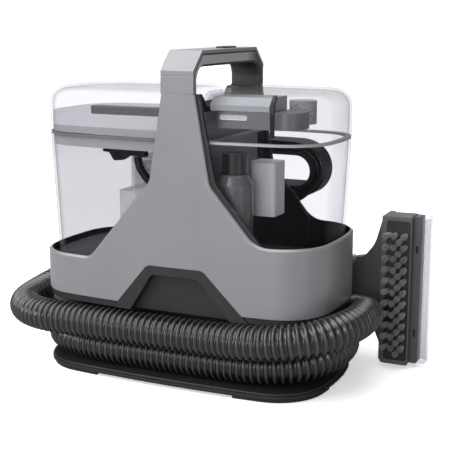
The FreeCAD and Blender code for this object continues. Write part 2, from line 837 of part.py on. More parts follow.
def make_power_button():
    """Oval button that stands a little proud of the grip, and its return spring."""
    body = new_body("power_button", 0, 0, BUTTON_BASE)
    sketch = new_sketch(body)
    half_x, half_y = BUTTON_HALF
    rectangle(sketch, -half_x, half_x, BUTTON_Y - half_y, BUTTON_Y + half_y, half_x - 0.1)
    height = size("handle_top") + 1.5 - BUTTON_BASE
    pad(body, sketch, height)
    soften(body, "Fillet", 1.2, at_height(height.value))
    spring = make_spring(3.2, 0.5, 1.45, 3.0)
    solid_part("button_spring", spring, (0, BUTTON_Y, 307.3))


def make_spring(coil_radius, wire_radius, pitch, turns):
    """Coil spring along Z from z = 0, as a swept round wire."""
    helix = Part.makeHelix(pitch, pitch * turns, coil_radius)
    section = Part.Wire(
        [Part.Circle(Vector(coil_radius, 0, 0), Vector(0, 1, 0), wire_radius).toShape()]
    )
    return Part.Wire(helix.Edges).makePipeShell([section], True, True)


# ---------------------------------------------------------------------------------------------------
# Motor, fan and pump inside the drum
# ---------------------------------------------------------------------------------------------------
MOTOR_X = -62.0
SHAFT_RADIUS = 4.0


def turned(name, x, y, z, profile):
    """A body of revolution about Z from (radius, height) corners."""
    body = new_body(name, x, y, z)
    sketch = new_sketch(body, "XZ_Plane")
    polygon(sketch, profile)
    revolve(body, sketch)
    return body


def make_motor():
    """Suction motor with its fan: can with the stator in it, rotor, impeller and shroud."""
    can = turned("can", MOTOR_X, 0, 0, [(34, 30.5), (36, 30.5), (36, 100), (4.6, 100), (4.6, 98), (34, 98)])
    stator = turned("stator", MOTOR_X, 0, 0, [(21, 46), (34, 46), (34, 84), (21, 84)])
    group("motor_stator", can, stator)
    turned(
        "motor_rotor", MOTOR_X, 0, 0,
        [(0, 13), (SHAFT_RADIUS, 13), (SHAFT_RADIUS, 43), (20.4, 43), (20.4, 87), (SHAFT_RADIUS, 87),
         (SHAFT_RADIUS, 103), (0, 103)],
    )
    turned(
        "fan_shroud", MOTOR_X, 0, 0,
        [(14, 9.5), (37, 9.5), (37, 30.4), (4.6, 30.4), (4.6, 28.4), (35, 28.4), (35, 11.5), (14, 11.5)],
    )
    fan = turned(
        "fan_impeller", MOTOR_X, 0, 0,
        [(SHAFT_RADIUS, 16), (33, 16), (33, 17.5), (9, 17.5), (9, 27), (SHAFT_RADIUS, 27)],
    )
    blades = new_sketch(fan, offset=17.5)
    for index in range(8):
        spin = math.radians(45 * index)
        corners = [(8.5, -0.8), (31, 5.2), (31, 6.8), (8.5, 0.8)]
        polygon(blades, [rotated(x, y, spin) for x, y in corners])
    pad(fan, blades, 8)


def rotated(x, y, angle):
    """A point turned about the origin."""
    return x * math.cos(angle) - y * math.sin(angle), x * math.sin(angle) + y * math.cos(angle)


def make_pump():
    """Water pump on the base plate and the control board in the tower."""
    pump = new_body("pump_body", 72, 0, size("plate_top") + 0.2)
    block = new_sketch(pump)
    rectangle(block, -20, 8, -14, 14, 4)
    pad(pump, block, 26)
    barrel = new_sketch(pump, "YZ_Plane", offset=8)
    circle(barrel, 0, 13, 11)
    pad(pump, barrel, 18)
    board = new_body("control_board", 0, 0, 150)
    plate = new_sketch(board, "YZ_Plane", offset=-6)
    rectangle(plate, -40, 40, 0, 70)
    pad(board, plate, 1.6)
    chips = new_sketch(board, "YZ_Plane", offset=-4.4)
    for low_y, low_z, wide, tall in ((-34, 8, 20, 18), (-8, 12, 14, 30), (14, 6, 20, 14), (12, 30, 24, 26)):
        rectangle(chips, low_y, low_y + wide, low_z, low_z + tall)
    pad(board, chips, 9)


# ---------------------------------------------------------------------------------------------------
# Tanks
# ---------------------------------------------------------------------------------------------------
SEAM_LOW, SEAM_GAP = size("tank_seam") - 3.5, 2.5
RISER_X, RISER_Y = 41.5, -45.0
FLOOR_Z = 112.4


def tank_cut(side, inset):
    """Where a tank outline is cut off towards the tower, in plan coordinates."""
    return local_x((size("tank_inner_face") + inset) * side)


def make_tank_shell(name, side):
    """Clear tank that widens a little towards the top, with a closed floor."""
    body = new_body(name, CENTRE_X, 0, FLOOR_Z)
    height = SEAM_LOW - FLOOR_Z
    wall = size("tank_wall")
    for offset, inset, cut in ((0, 0, False), (3, wall, True)):
        low = new_sketch(body, offset=offset)
        half_oval(low, TANK_LOW.inset(inset), tank_cut(side, inset), side)
        high = new_sketch(body, offset=height)
        half_oval(high, TANK_HIGH.inset(inset), tank_cut(side, inset), side)
        loft(body, low, high, cut)
    return body


def make_ring(name, side, low_z, high_z, outside, inside):
    """A flat ring that follows a tank's outline between two insets."""
    body = new_body(name, CENTRE_X, 0, low_z)
    height = as_dim(high_z) - low_z
    outer = new_sketch(body)
    half_oval(outer, TANK_HIGH.inset(outside), tank_cut(side, outside), side)
    pad(body, outer, height)
    inner = new_sketch(body, offset=height)
    half_oval(inner, TANK_HIGH.inset(inside), tank_cut(side, inside), side)
    pocket(body, inner, height)
    return body


def make_lid(name, side):
    """Clear domed lid: straight walls with a large round along the top edge, hollow from below."""
    low_z = SEAM_LOW + SEAM_GAP
    body = new_body(name, CENTRE_X, 0, low_z)
    height = size("tank_top") - low_z
    outer = new_sketch(body)
    half_oval(outer, TANK_HIGH, tank_cut(side, 0), side)
    pad(body, outer, height)
    soften(body, "Fillet", size("lid_edge_radius"), at_height(height.value, round_rim(side)))
    solid = body.Tip
    floor = [f"Face{i}" for i, face in enumerate(solid.Shape.Faces, start=1) if face.BoundBox.ZMax < 0.01]
    shell = body.newObject("PartDesign::Thickness", "shell")
    shell.Base = (solid, floor)
    bind(shell, "Value", size("tank_wall"))
    shell.Reversed = True
    doc.recompute()


def round_rim(side):
    """A test for edges of a tank outline that are not on its straight inner cut."""
    cut = tank_cut(side, 0).value

    def keep(edge):
        box = edge.BoundBox
        return abs(box.XMin - cut) > 0.5 or abs(box.XMax - cut) > 0.5

    return keep


def make_pan(name, side, low_z, high_z, inset):
    """Inverted shallow pan inside a lid."""
    body = new_body(name, CENTRE_X, 0, low_z)
    outer = new_sketch(body)
    half_oval(outer, TANK_HIGH.inset(inset), tank_cut(side, inset), side)
    pad(body, outer, high_z - low_z)
    inner = new_sketch(body, offset=high_z - low_z - 3)
    half_oval(inner, TANK_HIGH.inset(inset + 3), tank_cut(side, inset + 3), side)
    pocket(body, inner, high_z - low_z - 3)
    return body


def box_body(name, x_range, y_range, z_range, radius=None):
    """An upright block between bound limits."""
    body = new_body(name, 0, 0, z_range[0])
    sketch = new_sketch(body)
    rectangle(sketch, *x_range, *y_range, radius)
    pad(body, sketch, as_dim(z_range[1]) - z_range[0])
    return body


def make_clean_tank():
    """Left tank: shell, lid with its pan, seals, level block, pickup bracket and tube."""
    make_tank_shell("clean_tank_shell", -1)
    make_ring("clean_tank_rim", -1, 224.5, SEAM_LOW - 0.2, 3.2, 7.6)
    make_ring("clean_gasket", -1, SEAM_LOW + 0.1, SEAM_LOW + SEAM_GAP - 0.1, 0.6, 6)
    make_lid("clean_lid", -1)
    skirt = make_ring("clean_skirt", -1, SEAM_LOW + SEAM_GAP + 0.5, 244, 2.8, 7)
    pan = make_pan("clean_pan", -1, 244.2, 257, 2.8)
    strip = box_body("clean_strip", (-103, -26), (-63.5, -51), (257.2, 264.6), 3)
    group("clean_lid_pan", skirt, pan, strip)
    low, step_z = FLOOR_Z + 3.2, 178.0
    well = box_body("clean_level_block", (-94, -24), (-30, 40), (low, step_z), 5)
    step = new_sketch(well, offset=step_z - low)
    rectangle(step, -80, -24, -30, 40, 5)
    pad(well, step, 34)
    hollow = new_sketch(well)
    rectangle(hollow, -77, -27, -27, 37, 3)
    pocket(well, hollow, 90, flip=True)
    bracket = new_body("bracket", 0, -38, 0)
    outline = new_sketch(bracket, "XZ_Plane")
    polygon(outline, [(-103, 221), (-56, 221), (-56, 214.5), (-73, 215.5, 3), (-81, 210.5, 3),
                      (-91, 209.5, 3), (-96, 217.5, 3), (-103, 218)])
    pad(bracket, outline, 7, midplane=True)
    drop = [(-66, -38, 214.2), (-64, -38, 204), (-56, -38, 193), (-42, -38, 183), (-29, -38, 170),
            (-28, -38, 148), (-28, -38, 124)]
    group("clean_pickup", bracket, route_tube("pickup_tube", drop, 4))


def make_dirty_tank():
    """Right tank: shell, lid, seals, riser, its cap, float cage with float, filter and latch."""
    make_tank_shell("dirty_tank_shell", 1)
    make_ring("dirty_gasket", 1, SEAM_LOW + 0.1, SEAM_LOW + SEAM_GAP - 0.1, 0.6, 6)
    make_lid("dirty_lid", 1)
    box_body("dirty_lid_filter", (24, 109), (-60.5, -18), (249, 264.3), 16)
    bezel = box_body("dirty_lid_bezel", (24, 82), (-60.5, -18), (264.6, 277))
    soften(bezel, "Chamfer", 7, at_height(12.4, lambda edge: edge.BoundBox.YMax < -60.4))
    riser = turned(
        "riser", RISER_X, RISER_Y, FLOOR_Z + 3.2,
        [(12, 0), (17.7, 0), (17.7, 80), (13.5, 88), (13.5, 90), (10.5, 90), (12, 80)],
    )
    soften(riser, "Fillet", 3, lambda edge: abs(edge.BoundBox.ZMin - 80) < 0.01
           and abs(edge.BoundBox.ZMax - 80) < 0.01 and edge.BoundBox.XMax > 17)
    cap = turned("cap", RISER_X, RISER_Y, 206, [(0, 19), (12, 19), (12, 0), (10, 0), (10, 17), (0, 17)])
    group("dirty_riser", riser, cap)
    cage = box_body("float_cage", (46, 73), (-24, 4), (163, 214), 4)
    hollow = new_sketch(cage)
    rectangle(hollow, 48, 71, -22, 2, 2.5)
    pocket(cage, hollow, 49, flip=True)
    box_body("float_block", (48.7, 70.3), (-21.3, 1.3), (176, 196), 2)
    turned("foam_filter", 88, 8, 249, [(0, 0), (13, 0), (13, 22), (0, 22)])
    latch = new_body("lid_latch", 88, 0, 0)
    side_view = new_sketch(latch, "YZ_Plane")
    polygon(side_view, [(-66.8, 243), (-69.2, 243), (-69.2, 264.5), (-66.5, 274.7), (-61.9, 280.1),
                        (-60.4, 278.3), (-64.4, 273.5), (-66.8, 264.5)])
    pad(latch, side_view, 3.6, midplane=True)


# ---------------------------------------------------------------------------------------------------
# Routes of straight runs and tangent arcs
# ---------------------------------------------------------------------------------------------------
ARC_SHARE = 0.45


def route_wire(name, points):
    """Straight runs joined by arcs as large as the runs allow, with the arcs' radii printed."""
    points = [Vector(*point) for point in points]
    edges, radii, here = [], [], points[0]
    for before, corner, after in zip(points, points[1:], points[2:]):
        into, out = (before - corner), (after - corner)
        reach = ARC_SHARE * min(into.Length, out.Length)
        turn = math.pi - into.getAngle(out)
        radii.append(reach / math.tan(turn / 2))
        start = corner + into.normalize() * reach
        stop = corner + out.normalize() * reach
        bisector = (into + out).normalize()
        middle = corner + bisector * (radii[-1] * (1 / math.cos(turn / 2) - 1))
        edges.append(Part.LineSegment(here, start).toShape())
        edges.append(Part.Arc(start, middle, stop).toShape())
        here = stop
    edges.append(Part.LineSegment(here, points[-1]).toShape())
    wire = Part.Wire(edges)
    print(f"{name}: length {wire.Length:.0f} mm, arc radii", " ".join(f"{r:.0f}" for r in radii))
    return wire


def route_tube(name, points, radius, bore=0.0):
    """Round tube along a route, checked against section times length."""
    wire = route_wire(name, points)
    start = Vector(*points[0])
    along = Vector(*points[1]) - start

    def sweep(section_radius):
        ring = Part.Wire([Part.Circle(start, along, section_radius).toShape()])
        return wire.makePipeShell([ring], True, False)

    tube = sweep(radius)
    if bore:
        tube = tube.cut(sweep(bore))
    wanted = math.pi * (radius**2 - bore**2) * wire.Length
    if abs(tube.Volume / wanted - 1) > 0.01:
        raise RuntimeError(f"{name} has {tube.Volume:.0f} mm3 instead of {wanted:.0f}")
    return solid_part(name, tube)


# ---------------------------------------------------------------------------------------------------
# Suction hose and its ends
# ---------------------------------------------------------------------------------------------------
PORT_MOUTH = (44.0, 61.5, PORT_Z)
WAND_END_X = -66.0
HOSE_ROUTE = [
    (WAND_END_X - 24, 103, 82), (-136, 103.5, 78), (-184, 88, 70), (-210, 52, 60), (-217, 6, 52),
    (-208, -42, 50.5), (-168, -76, 53.5), (-108, -80, 54.3), (-40, -79.5, 54.2), (30, -79.8, 54.6),
    (86, -87.5, 58.5), (132, -76, 65), (156, -34, 70), (155.5, 12, 69), (141, 49, 59.5), (112, 69.5, 54.4),
    (70, 77, 54), (10, 80, 54.2), (-60, 78, 50), (-116, 68, 39), (-158, 46, 29), (-171, 4, 25.8),
    (-160, -42, 25.8), (-112, -62, 25.8), (-40, -61.8, 25.8), (30, -62, 25.8), (90, -60, 27.5),
    (124, -34, 32),
    (133, 8, 35), (120, 44, 33), (84, 61, 28.5), PORT_MOUTH,
]


def make_hose():
    """Suction hose wound twice round the drum, from the wand to the port elbow."""
    route_tube("suction_hose", HOSE_ROUTE, size("hose_diameter").value / 2)
    port_cuff = x_cuff("port_cuff", PORT_MOUTH[0] - 12, PORT_MOUTH[0], PORT_MOUTH[1], PORT_MOUTH[2])
    wand_cuff = x_cuff("wand_cuff", WAND_END_X - 24, WAND_END_X, 103, 82)
    group("hose_fittings", make_port_elbow(), port_cuff, wand_cuff)
    top_y = RISER_Y + 8
    duct = [(PORT_X, 50, PORT_Z), (PORT_X, 10, PORT_Z + 1), (PORT_X + 12, -16, 40), (RISER_X, -27, 62),
            (RISER_X, -28, 84), (RISER_X, top_y, 103.4)]
    route_tube("suction_duct", duct, 11.5, 9.5)


def make_port_elbow():
    """Moulded elbow that turns the hose's end through the drum's rear wall."""
    wall_y = size("drum_half_depth") + 0.1
    body = new_body("elbow", 0, 0, 10.0)
    block = new_sketch(body)
    rectangle(block, PORT_X - 15, PORT_MOUTH[0] - 12, wall_y, 78, 6)
    pad(body, block, 2 * (PORT_Z - 10))
    inlet = new_sketch(body, "XZ_Plane", offset=-wall_y)
    circle(inlet, PORT_X, PORT_Z - 10, 11.8)
    pocket(body, inlet, 26)
    mouth = new_sketch(body, "YZ_Plane", offset=PORT_MOUTH[0] - 12)
    circle(mouth, PORT_MOUTH[1], PORT_Z - 10, 11)
    pocket(body, mouth, 24)
    return body


def x_cuff(name, start, stop, y, z):
    """Ribbed sleeve round an axis parallel to X."""
    body = new_body(name, 0, y, z)
    sketch = new_sketch(body, "XZ_Plane")
    corners = [(start, 11), (start, 17.2)]
    grooves = 3
    pitch = (stop - start) / (grooves * 2 + 1)
    for index in range(grooves):
        low = start + pitch * (2 * index + 1)
        corners += [(low, 17.2), (low, 16.2), (low + pitch, 16.2), (low + pitch, 17.2)]
    corners += [(stop, 17.2), (stop, 11)]
    polygon(sketch, corners)
    revolve(body, sketch, axis="H_Axis")
    return body


# ---------------------------------------------------------------------------------------------------
# Wand, trigger and tool
# ---------------------------------------------------------------------------------------------------
def make_wand():
    """Hollow wand with its trigger, the trigger's spring and the valve under it."""
    wand_y, wand_z = size("wand_axis_y"), size("wand_axis_z")
    wand = new_body("wand_body", 0, wand_y, wand_z)
    sketch = new_sketch(wand, "XZ_Plane")
    polygon(sketch, [(WAND_END_X, 11), (WAND_END_X, 16.5), (-52, 16.5, 6), (-44, 14.8, 6), (60, 14.8, 10),
                     (84, 16.2, 10), (102, 16.2), (102, 11)])
    revolve(wand, sketch, axis="H_Axis")
    seat = new_sketch(wand, offset=7)
    rectangle(seat, -12, 64, -5.5, 5.5)
    pocket(wand, seat, 12, flip=True)
    trigger = new_body("spray_trigger", 0, wand_y, wand_z)
    outline = new_sketch(trigger, "XZ_Plane")
    polygon(outline, [(-8, 13.5), (-10, 20, 2), (20, 18.5, 30), (52, 20, 6), (61, 16, 2), (61, 8.6, 2),
                      (50, 8.6), (44, 13.5)])
    pad(trigger, outline, 10, midplane=True)
    pin = new_body("trigger_pin", 0, wand_y, wand_z)
    shaft = new_sketch(pin, "XZ_Plane")
    circle(shaft, 56, 11.6, 1.5)
    pad(pin, shaft, 15, midplane=True)
    hole = new_sketch(trigger, "XZ_Plane")
    circle(hole, 56, 11.6, 1.56)
    pocket(trigger, hole, 30, midplane=True)
    box_body("spray_valve", (6, 30), (99.5, 106.5), (86, 90.5), 1)
    spring = make_spring(2.2, 0.4, 1.3, 3.0)
    solid_part("trigger_spring", spring, (16, 103, 91))


HEAD_FRONT, HEAD_BACK = 66.0, 98.0
FAN_FRONT = 86.0
HEAD_RIGHT = 181.4


def make_tool():
    """Upholstery tool: head with its neck, release, bristle plate, tufts, suction strip and clear lip."""
    neck = new_body("neck")
    sections = [(102.1, 103, 82, 16.2, 16.2, 16), (110, 99, 83, 13, 18, 11), (120, 92, 84, 6, 23, 5.5)]
    sketches = []
    for x, y, z, half_y, half_z, radius in sections:
        sketch = new_sketch(neck, "YZ_Plane", offset=x)
        rectangle(sketch, y - half_y, y + half_y, z - half_z, z + half_z, radius)
        sketches.append(sketch)
    skin = feature(neck, "AdditiveLoft", sketches[0], "neck")
    skin.Sections = sketches[1:]
    seat_z, above_neck = 97.2, 125.0
    seat = new_sketch(neck, offset=above_neck)
    rectangle(seat, 105.6, 116.6, 95.1, 103.9, 3.2)
    pocket(neck, seat, above_neck - seat_z)
    head = new_body("head", 0, HEAD_FRONT, 0)
    outline = new_sketch(head, "XZ_Plane")
    polygon(outline, [(120.1, 106), (128, 107.5, 8), (139, 122, 30), (147, 151, 3), (151, 155, 2),
                      (HEAD_RIGHT, 155.5, 2), (HEAD_RIGHT, 3.5, 2), (154, 3.5, 3), (145, 20, 12),
                      (134, 46, 14), (120.1, 62)])
    pad(head, outline, HEAD_BACK - HEAD_FRONT, flip=True)
    relief = new_sketch(head, "XZ_Plane")
    rectangle(relief, 100, 151.5, -1, 160)
    pocket(head, relief, FAN_FRONT - HEAD_FRONT)
    behind = new_sketch(head, "XZ_Plane", offset=-(HEAD_BACK - HEAD_FRONT))
    rectangle(behind, 156, 190, -1, 160)
    pocket(head, behind, 6, flip=True)
    hollow = new_sketch(head, "XZ_Plane")
    rectangle(hollow, 156.5, HEAD_RIGHT - 1.2, 8, 151, 3)
    pocket(head, hollow, 3)
    group("tool_head", neck, head)
    release = box_body("tool_release", (106, 116), (95.5, 103.5), (99.2, 104.6), 3)
    soften(release, "Fillet", 1.2, at_height(5.4))
    plate = new_body("bristle_plate", 0, HEAD_FRONT, 0)
    flat = new_sketch(plate, "XZ_Plane")
    rectangle(flat, 156.8, HEAD_RIGHT - 1.5, 8.3, 150.7, 2.7)
    pad(plate, flat, 2.8, flip=True)
    make_tufts()
    strip = new_body("suction_strip", 0, 74, 0)
    band = new_sketch(strip, "XZ_Plane")
    rectangle(band, HEAD_RIGHT + 0.2, 189.2, 4.5, 155.5, 1.5)
    pad(strip, band, 14, flip=True)
    slots = new_sketch(strip, "XZ_Plane")
    for z in (36, 122):
        rectangle(slots, 184.0, 187.2, z - 4, z + 4, 1.5)
    pocket(strip, slots, 5)
    lip = new_body("clear_lip", 0, 76, 0)
    face = new_sketch(lip, "XZ_Plane")
    rectangle(face, 189.4, 197.5, 4.5, 156.5, 2)
    pad(lip, face, 11, flip=True)
    mouth = new_sketch(lip, "XZ_Plane", offset=-2.5)
    rectangle(mouth, 191.6, FAR, 9, 152)
    pocket(lip, mouth, 6)


def make_tufts():
    """Bristle tufts in four columns, the third half a pitch lower than the others."""
    tufts = new_body("bristle_tufts", 0, HEAD_FRONT - 0.05, 0)
    sketch = new_sketch(tufts, "XZ_Plane")
    rows = spread(11, 22.6, 137.2)
    half_pitch = (rows[1] - rows[0]) / 2
    for x, drop in ((160.2, 0.0), (165.6, 0.0), (170.8, half_pitch), (175.9, 0.0)):
        for z in rows:
            circle(sketch, x, z - drop, 2.5)
    pad(tufts, sketch, 10.5)


# ---------------------------------------------------------------------------------------------------
# Rear fittings and power cord
# ---------------------------------------------------------------------------------------------------
COIL_Z, COIL_HALF_HEIGHT, COIL_BAND = 192.5, 30.5, 12.0
COIL_LEFT, COIL_RIGHT = -19.5, 54.5
COIL_FRONT, COIL_BACK = 84.4, 115.4
FORMER_RADIUS, FORMER_WALL = 18.2, 2.4
STOP_THICKNESS = 2.4
PLUG_X, PLUG_Z = -40.0, 110.2


def stadium(sketch, left, right, z, radius):
    """Two half circles joined by straight lines."""
    rectangle(sketch, left - radius, right + radius, z - radius, z + radius, radius - 0.01)


def fit_to_belt(body, low, high):
    """Cut a body that stands against the belt to the belt's outside, a hair clear of it."""
    outline = new_sketch(body, offset=high)
    oval(outline, BELT.inset(-0.1))
    pocket(body, outline, high - low)


def make_bracket():
    """Hollow former for the power cord, with four stops, and the block that the cord leaves from."""
    root_y = size("belt_half_depth") - 6
    bracket = new_body("cord_former", CENTRE_X, 0, 0)
    depth = as_dim(COIL_BACK + 0.2 + STOP_THICKNESS) - root_y
    left, right = local_x(COIL_LEFT), local_x(COIL_RIGHT)
    former = new_sketch(bracket, "XZ_Plane", offset=-root_y)
    stadium(former, left, right, COIL_Z, FORMER_RADIUS)
    pad(bracket, former, depth, flip=True)
    hollow = new_sketch(bracket, "XZ_Plane", offset=-root_y)
    stadium(hollow, left, right, COIL_Z, FORMER_RADIUS - FORMER_WALL)
    pocket(bracket, hollow, depth)
    fit_to_belt(bracket, 150, 230)
    for x in (left + 8, right - 8):
        for side in (1, -1):
            stop = new_sketch(bracket, "XZ_Plane", offset=-COIL_BACK - 0.2)
            root, tip = FORMER_RADIUS - FORMER_WALL, COIL_HALF_HEIGHT - 2
            low, high = sorted((COIL_Z + side * root, COIL_Z + side * tip))
            rectangle(stop, x - 8, x + 8, low, high, 1.0)
            pad(bracket, stop, STOP_THICKNESS, flip=True)
    outlet = new_body("cord_outlet", CENTRE_X, 0, 0)
    block = new_sketch(outlet, offset=122)
    rectangle(block, local_x(-76), local_x(-56), 74, 100, 4)
    pad(outlet, block, 16)
    fit_to_belt(outlet, 110, 150)
    group("cord_bracket", bracket, outlet)


CLIP_PLACES = (-40.0, 82.0)


def make_clips():
    """Two open clips on the belt that hold the wand."""
    clips = new_body("wand_clips", CENTRE_X, 0, 0)
    wand_y, wand_z = size("wand_axis_y"), size("wand_axis_z")
    for x in CLIP_PLACES:
        ring = new_sketch(clips, "YZ_Plane", offset=local_x(x))
        circle(ring, wand_y, wand_z, 18.8)
        pad(clips, ring, 12, midplane=True)
        foot = new_sketch(clips, "YZ_Plane", offset=local_x(x))
        rectangle(foot, size("belt_half_depth") - 8, wand_y, 80, 96)
        pad(clips, foot, 12, midplane=True)
        bore = new_sketch(clips, "YZ_Plane", offset=local_x(x))
        circle(bore, wand_y, wand_z, 16.5)
        pocket(clips, bore, 12.2, midplane=True)
        mouth = new_sketch(clips, "YZ_Plane", offset=local_x(x))
        rectangle(mouth, wand_y - 11, wand_y + 11, wand_z, 130)
        pocket(clips, mouth, 12.2, midplane=True)
    fit_to_belt(clips, 50, 110)


def make_power_cord():
    """Strain relief, lead to the coil, the coil on its former, and the end with its plug."""
    turned("strain_relief", -66, 92, 138.2, [(0, 0), (6.5, 0), (6.5, 4), (4.2, 26), (0, 26)])
    coil = new_body("power_cord_coil", 0, COIL_FRONT, 0)
    ring = new_sketch(coil, "XZ_Plane")
    stadium(ring, COIL_LEFT, COIL_RIGHT, COIL_Z, COIL_HALF_HEIGHT)
    pad(coil, ring, COIL_BACK - COIL_FRONT, flip=True)
    hole = new_sketch(coil, "XZ_Plane")
    stadium(hole, COIL_LEFT, COIL_RIGHT, COIL_Z, COIL_HALF_HEIGHT - COIL_BAND)
    pocket(coil, hole, COIL_BACK - COIL_FRONT)
    radius = size("cord_diameter").value / 2
    lead = [(-66, 92, 164.2), (-66.5, 92.5, 186), (-60, 95, 207), (-44, 97.5, 217.5), (-22, 99, 219.4)]
    first = route_tube("cord_lead", lead, radius)
    plug_lead = [(42, 100, 165.2), (18, 100.4, 160.5), (4, 101.4, 142), (-6, 102.4, 122), (-22, 103, 111.5),
                 (PLUG_X, 103, PLUG_Z)]
    last = route_tube("plug_lead", plug_lead, radius)
    group("power_cord_leads", first, last)
    plug = new_body("plug_body", PLUG_X, 103, PLUG_Z)
    profile = new_sketch(plug, "XZ_Plane")
    polygon(profile, [(0, 0), (0, 4.2), (-13, 10.4, 6), (-36, 10, 2), (-36, 0)])
    revolve(plug, profile, axis="H_Axis")
    pins = new_body("plug_pins", PLUG_X - 36, 103, PLUG_Z)
    ends = new_sketch(pins, "YZ_Plane")
    for y in (-6.5, 6.5):
        circle(ends, y, 0, 2.2)
    pad(pins, ends, 19, flip=True)
    group("power_plug", plug, pins)


def make_screws():
    """Cross-head screws that hold the deck to the base, seen from below."""
    screws = new_body("base_screws", CENTRE_X, 0, 0.9)
    heads = new_sketch(screws)
    for x in (-60, 60):
        for y in (-25, 25):
            circle(heads, x, y, 3.4)
    pad(screws, heads, 1.65)


# ---------------------------------------------------------------------------------------------------
# Build, check and write
# ---------------------------------------------------------------------------------------------------
def build():
    """Make every sub-part."""
    make_base_plate()
    make_feet()
    make_drum()
    make_deck()
    make_arch_panels()
    make_main_shell()
    group("yoke_liners", make_yoke_liner("front_liner", 1, 4.5), make_yoke_liner("rear_liner", -1, 0))
    group("tank_trays", make_tray("clean_tray", -1, -110), make_tray("dirty_tray", 1, 75))
    make_tower()
    make_handle()
    make_power_button()
    make_motor()
    make_pump()
    make_clean_tank()
    make_dirty_tank()
    make_hose()
    make_wand()
    make_tool()
    make_bracket()
    make_clips()
    make_power_cord()
    make_screws()


def check():
    """Stop if any feature failed or any sub-part is empty or broken."""
    doc.recompute()
    for item in doc.Objects:
        if "Invalid" in item.State or "Error" in item.State:
            raise RuntimeError(f"{item.Label} failed: {item.State}")
    for item in PARTS:
        if item.Shape.isNull() or not item.Shape.isValid() or not item.Shape.Solids:
            raise RuntimeError(f"{item.Label} has no valid shape")


def write():
    """Write one STEP file for each sub-part."""
    os.makedirs("parts", exist_ok=True)
    for item in PARTS:
        item.Shape.exportStep(os.path.join("parts", f"{item.Label}.step"))
    print(f"{len(PARTS)} sub-parts written")


build()
check()
write()
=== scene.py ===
"""Looks of the spot extractor: materials, corrugated hose, cord, bristles, light and camera."""

import json
import math
import random

import bmesh
import bpy
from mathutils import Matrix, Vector


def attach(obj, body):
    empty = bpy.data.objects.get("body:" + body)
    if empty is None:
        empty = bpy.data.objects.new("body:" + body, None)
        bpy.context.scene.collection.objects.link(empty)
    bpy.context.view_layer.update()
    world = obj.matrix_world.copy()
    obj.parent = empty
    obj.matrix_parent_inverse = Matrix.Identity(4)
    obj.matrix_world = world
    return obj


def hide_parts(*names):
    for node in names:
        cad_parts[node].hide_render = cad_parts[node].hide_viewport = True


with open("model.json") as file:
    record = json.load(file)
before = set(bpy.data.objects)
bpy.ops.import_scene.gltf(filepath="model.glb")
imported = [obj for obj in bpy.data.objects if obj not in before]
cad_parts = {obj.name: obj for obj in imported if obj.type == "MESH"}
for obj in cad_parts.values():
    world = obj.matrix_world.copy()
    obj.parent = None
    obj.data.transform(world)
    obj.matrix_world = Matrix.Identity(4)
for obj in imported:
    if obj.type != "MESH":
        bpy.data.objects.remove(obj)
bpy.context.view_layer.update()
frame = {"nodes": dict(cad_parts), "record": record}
NODES = frame["nodes"]
MM = 0.001
# x, in metres, of the upright axis in the middle of the belt's outline
PLAN_CENTRE_X = -0.019
random.seed(11)


def mm(*values):
    """A point given in millimetres, as metres."""
    return Vector(values) * MM


def put(thing):
    """Link an object into the scene."""
    bpy.context.scene.collection.objects.link(thing)
    return thing


# --------------------------------------------------------------------------------------------------
# Camera
# --------------------------------------------------------------------------------------------------
CAMERA_PLACE = (0.42693, -0.88977, 0.34702)
# degrees below level, and degrees from straight along +Y towards -X
CAMERA_DOWN, CAMERA_TURN = 11.574, 25.085
CAMERA_LENS, CAMERA_SENSOR = 80.95, 36.0


def make_camera():
    """The viewing angle: a little above the machine, from its front and right."""
    data = bpy.data.cameras.new("camera")
    data.lens = CAMERA_LENS
    data.sensor_width = CAMERA_SENSOR
    camera = put(bpy.data.objects.new("camera", data))
    camera.location = CAMERA_PLACE
    camera.rotation_euler = (math.radians(90 - CAMERA_DOWN), 0, math.radians(CAMERA_TURN))
    bpy.context.scene.camera = camera


make_camera()


# --------------------------------------------------------------------------------------------------
# Colours and shader nodes
# --------------------------------------------------------------------------------------------------
def rgba(grey_or_rgb, alpha=1.0):
    """A linear colour with alpha from one grey level or three channels."""
    if isinstance(grey_or_rgb, (int, float)):
        grey_or_rgb = (grey_or_rgb,) * 3
    return (*grey_or_rgb, alpha)


def lighter(colour, factor):
    """A colour scaled in brightness."""
    return rgba(tuple(min(1.0, channel * factor) for channel in colour[:3]))


def tinted(grey, shares):
    """A grey level with its channels scaled by their shares."""
    return rgba(tuple(grey * share for share in shares))


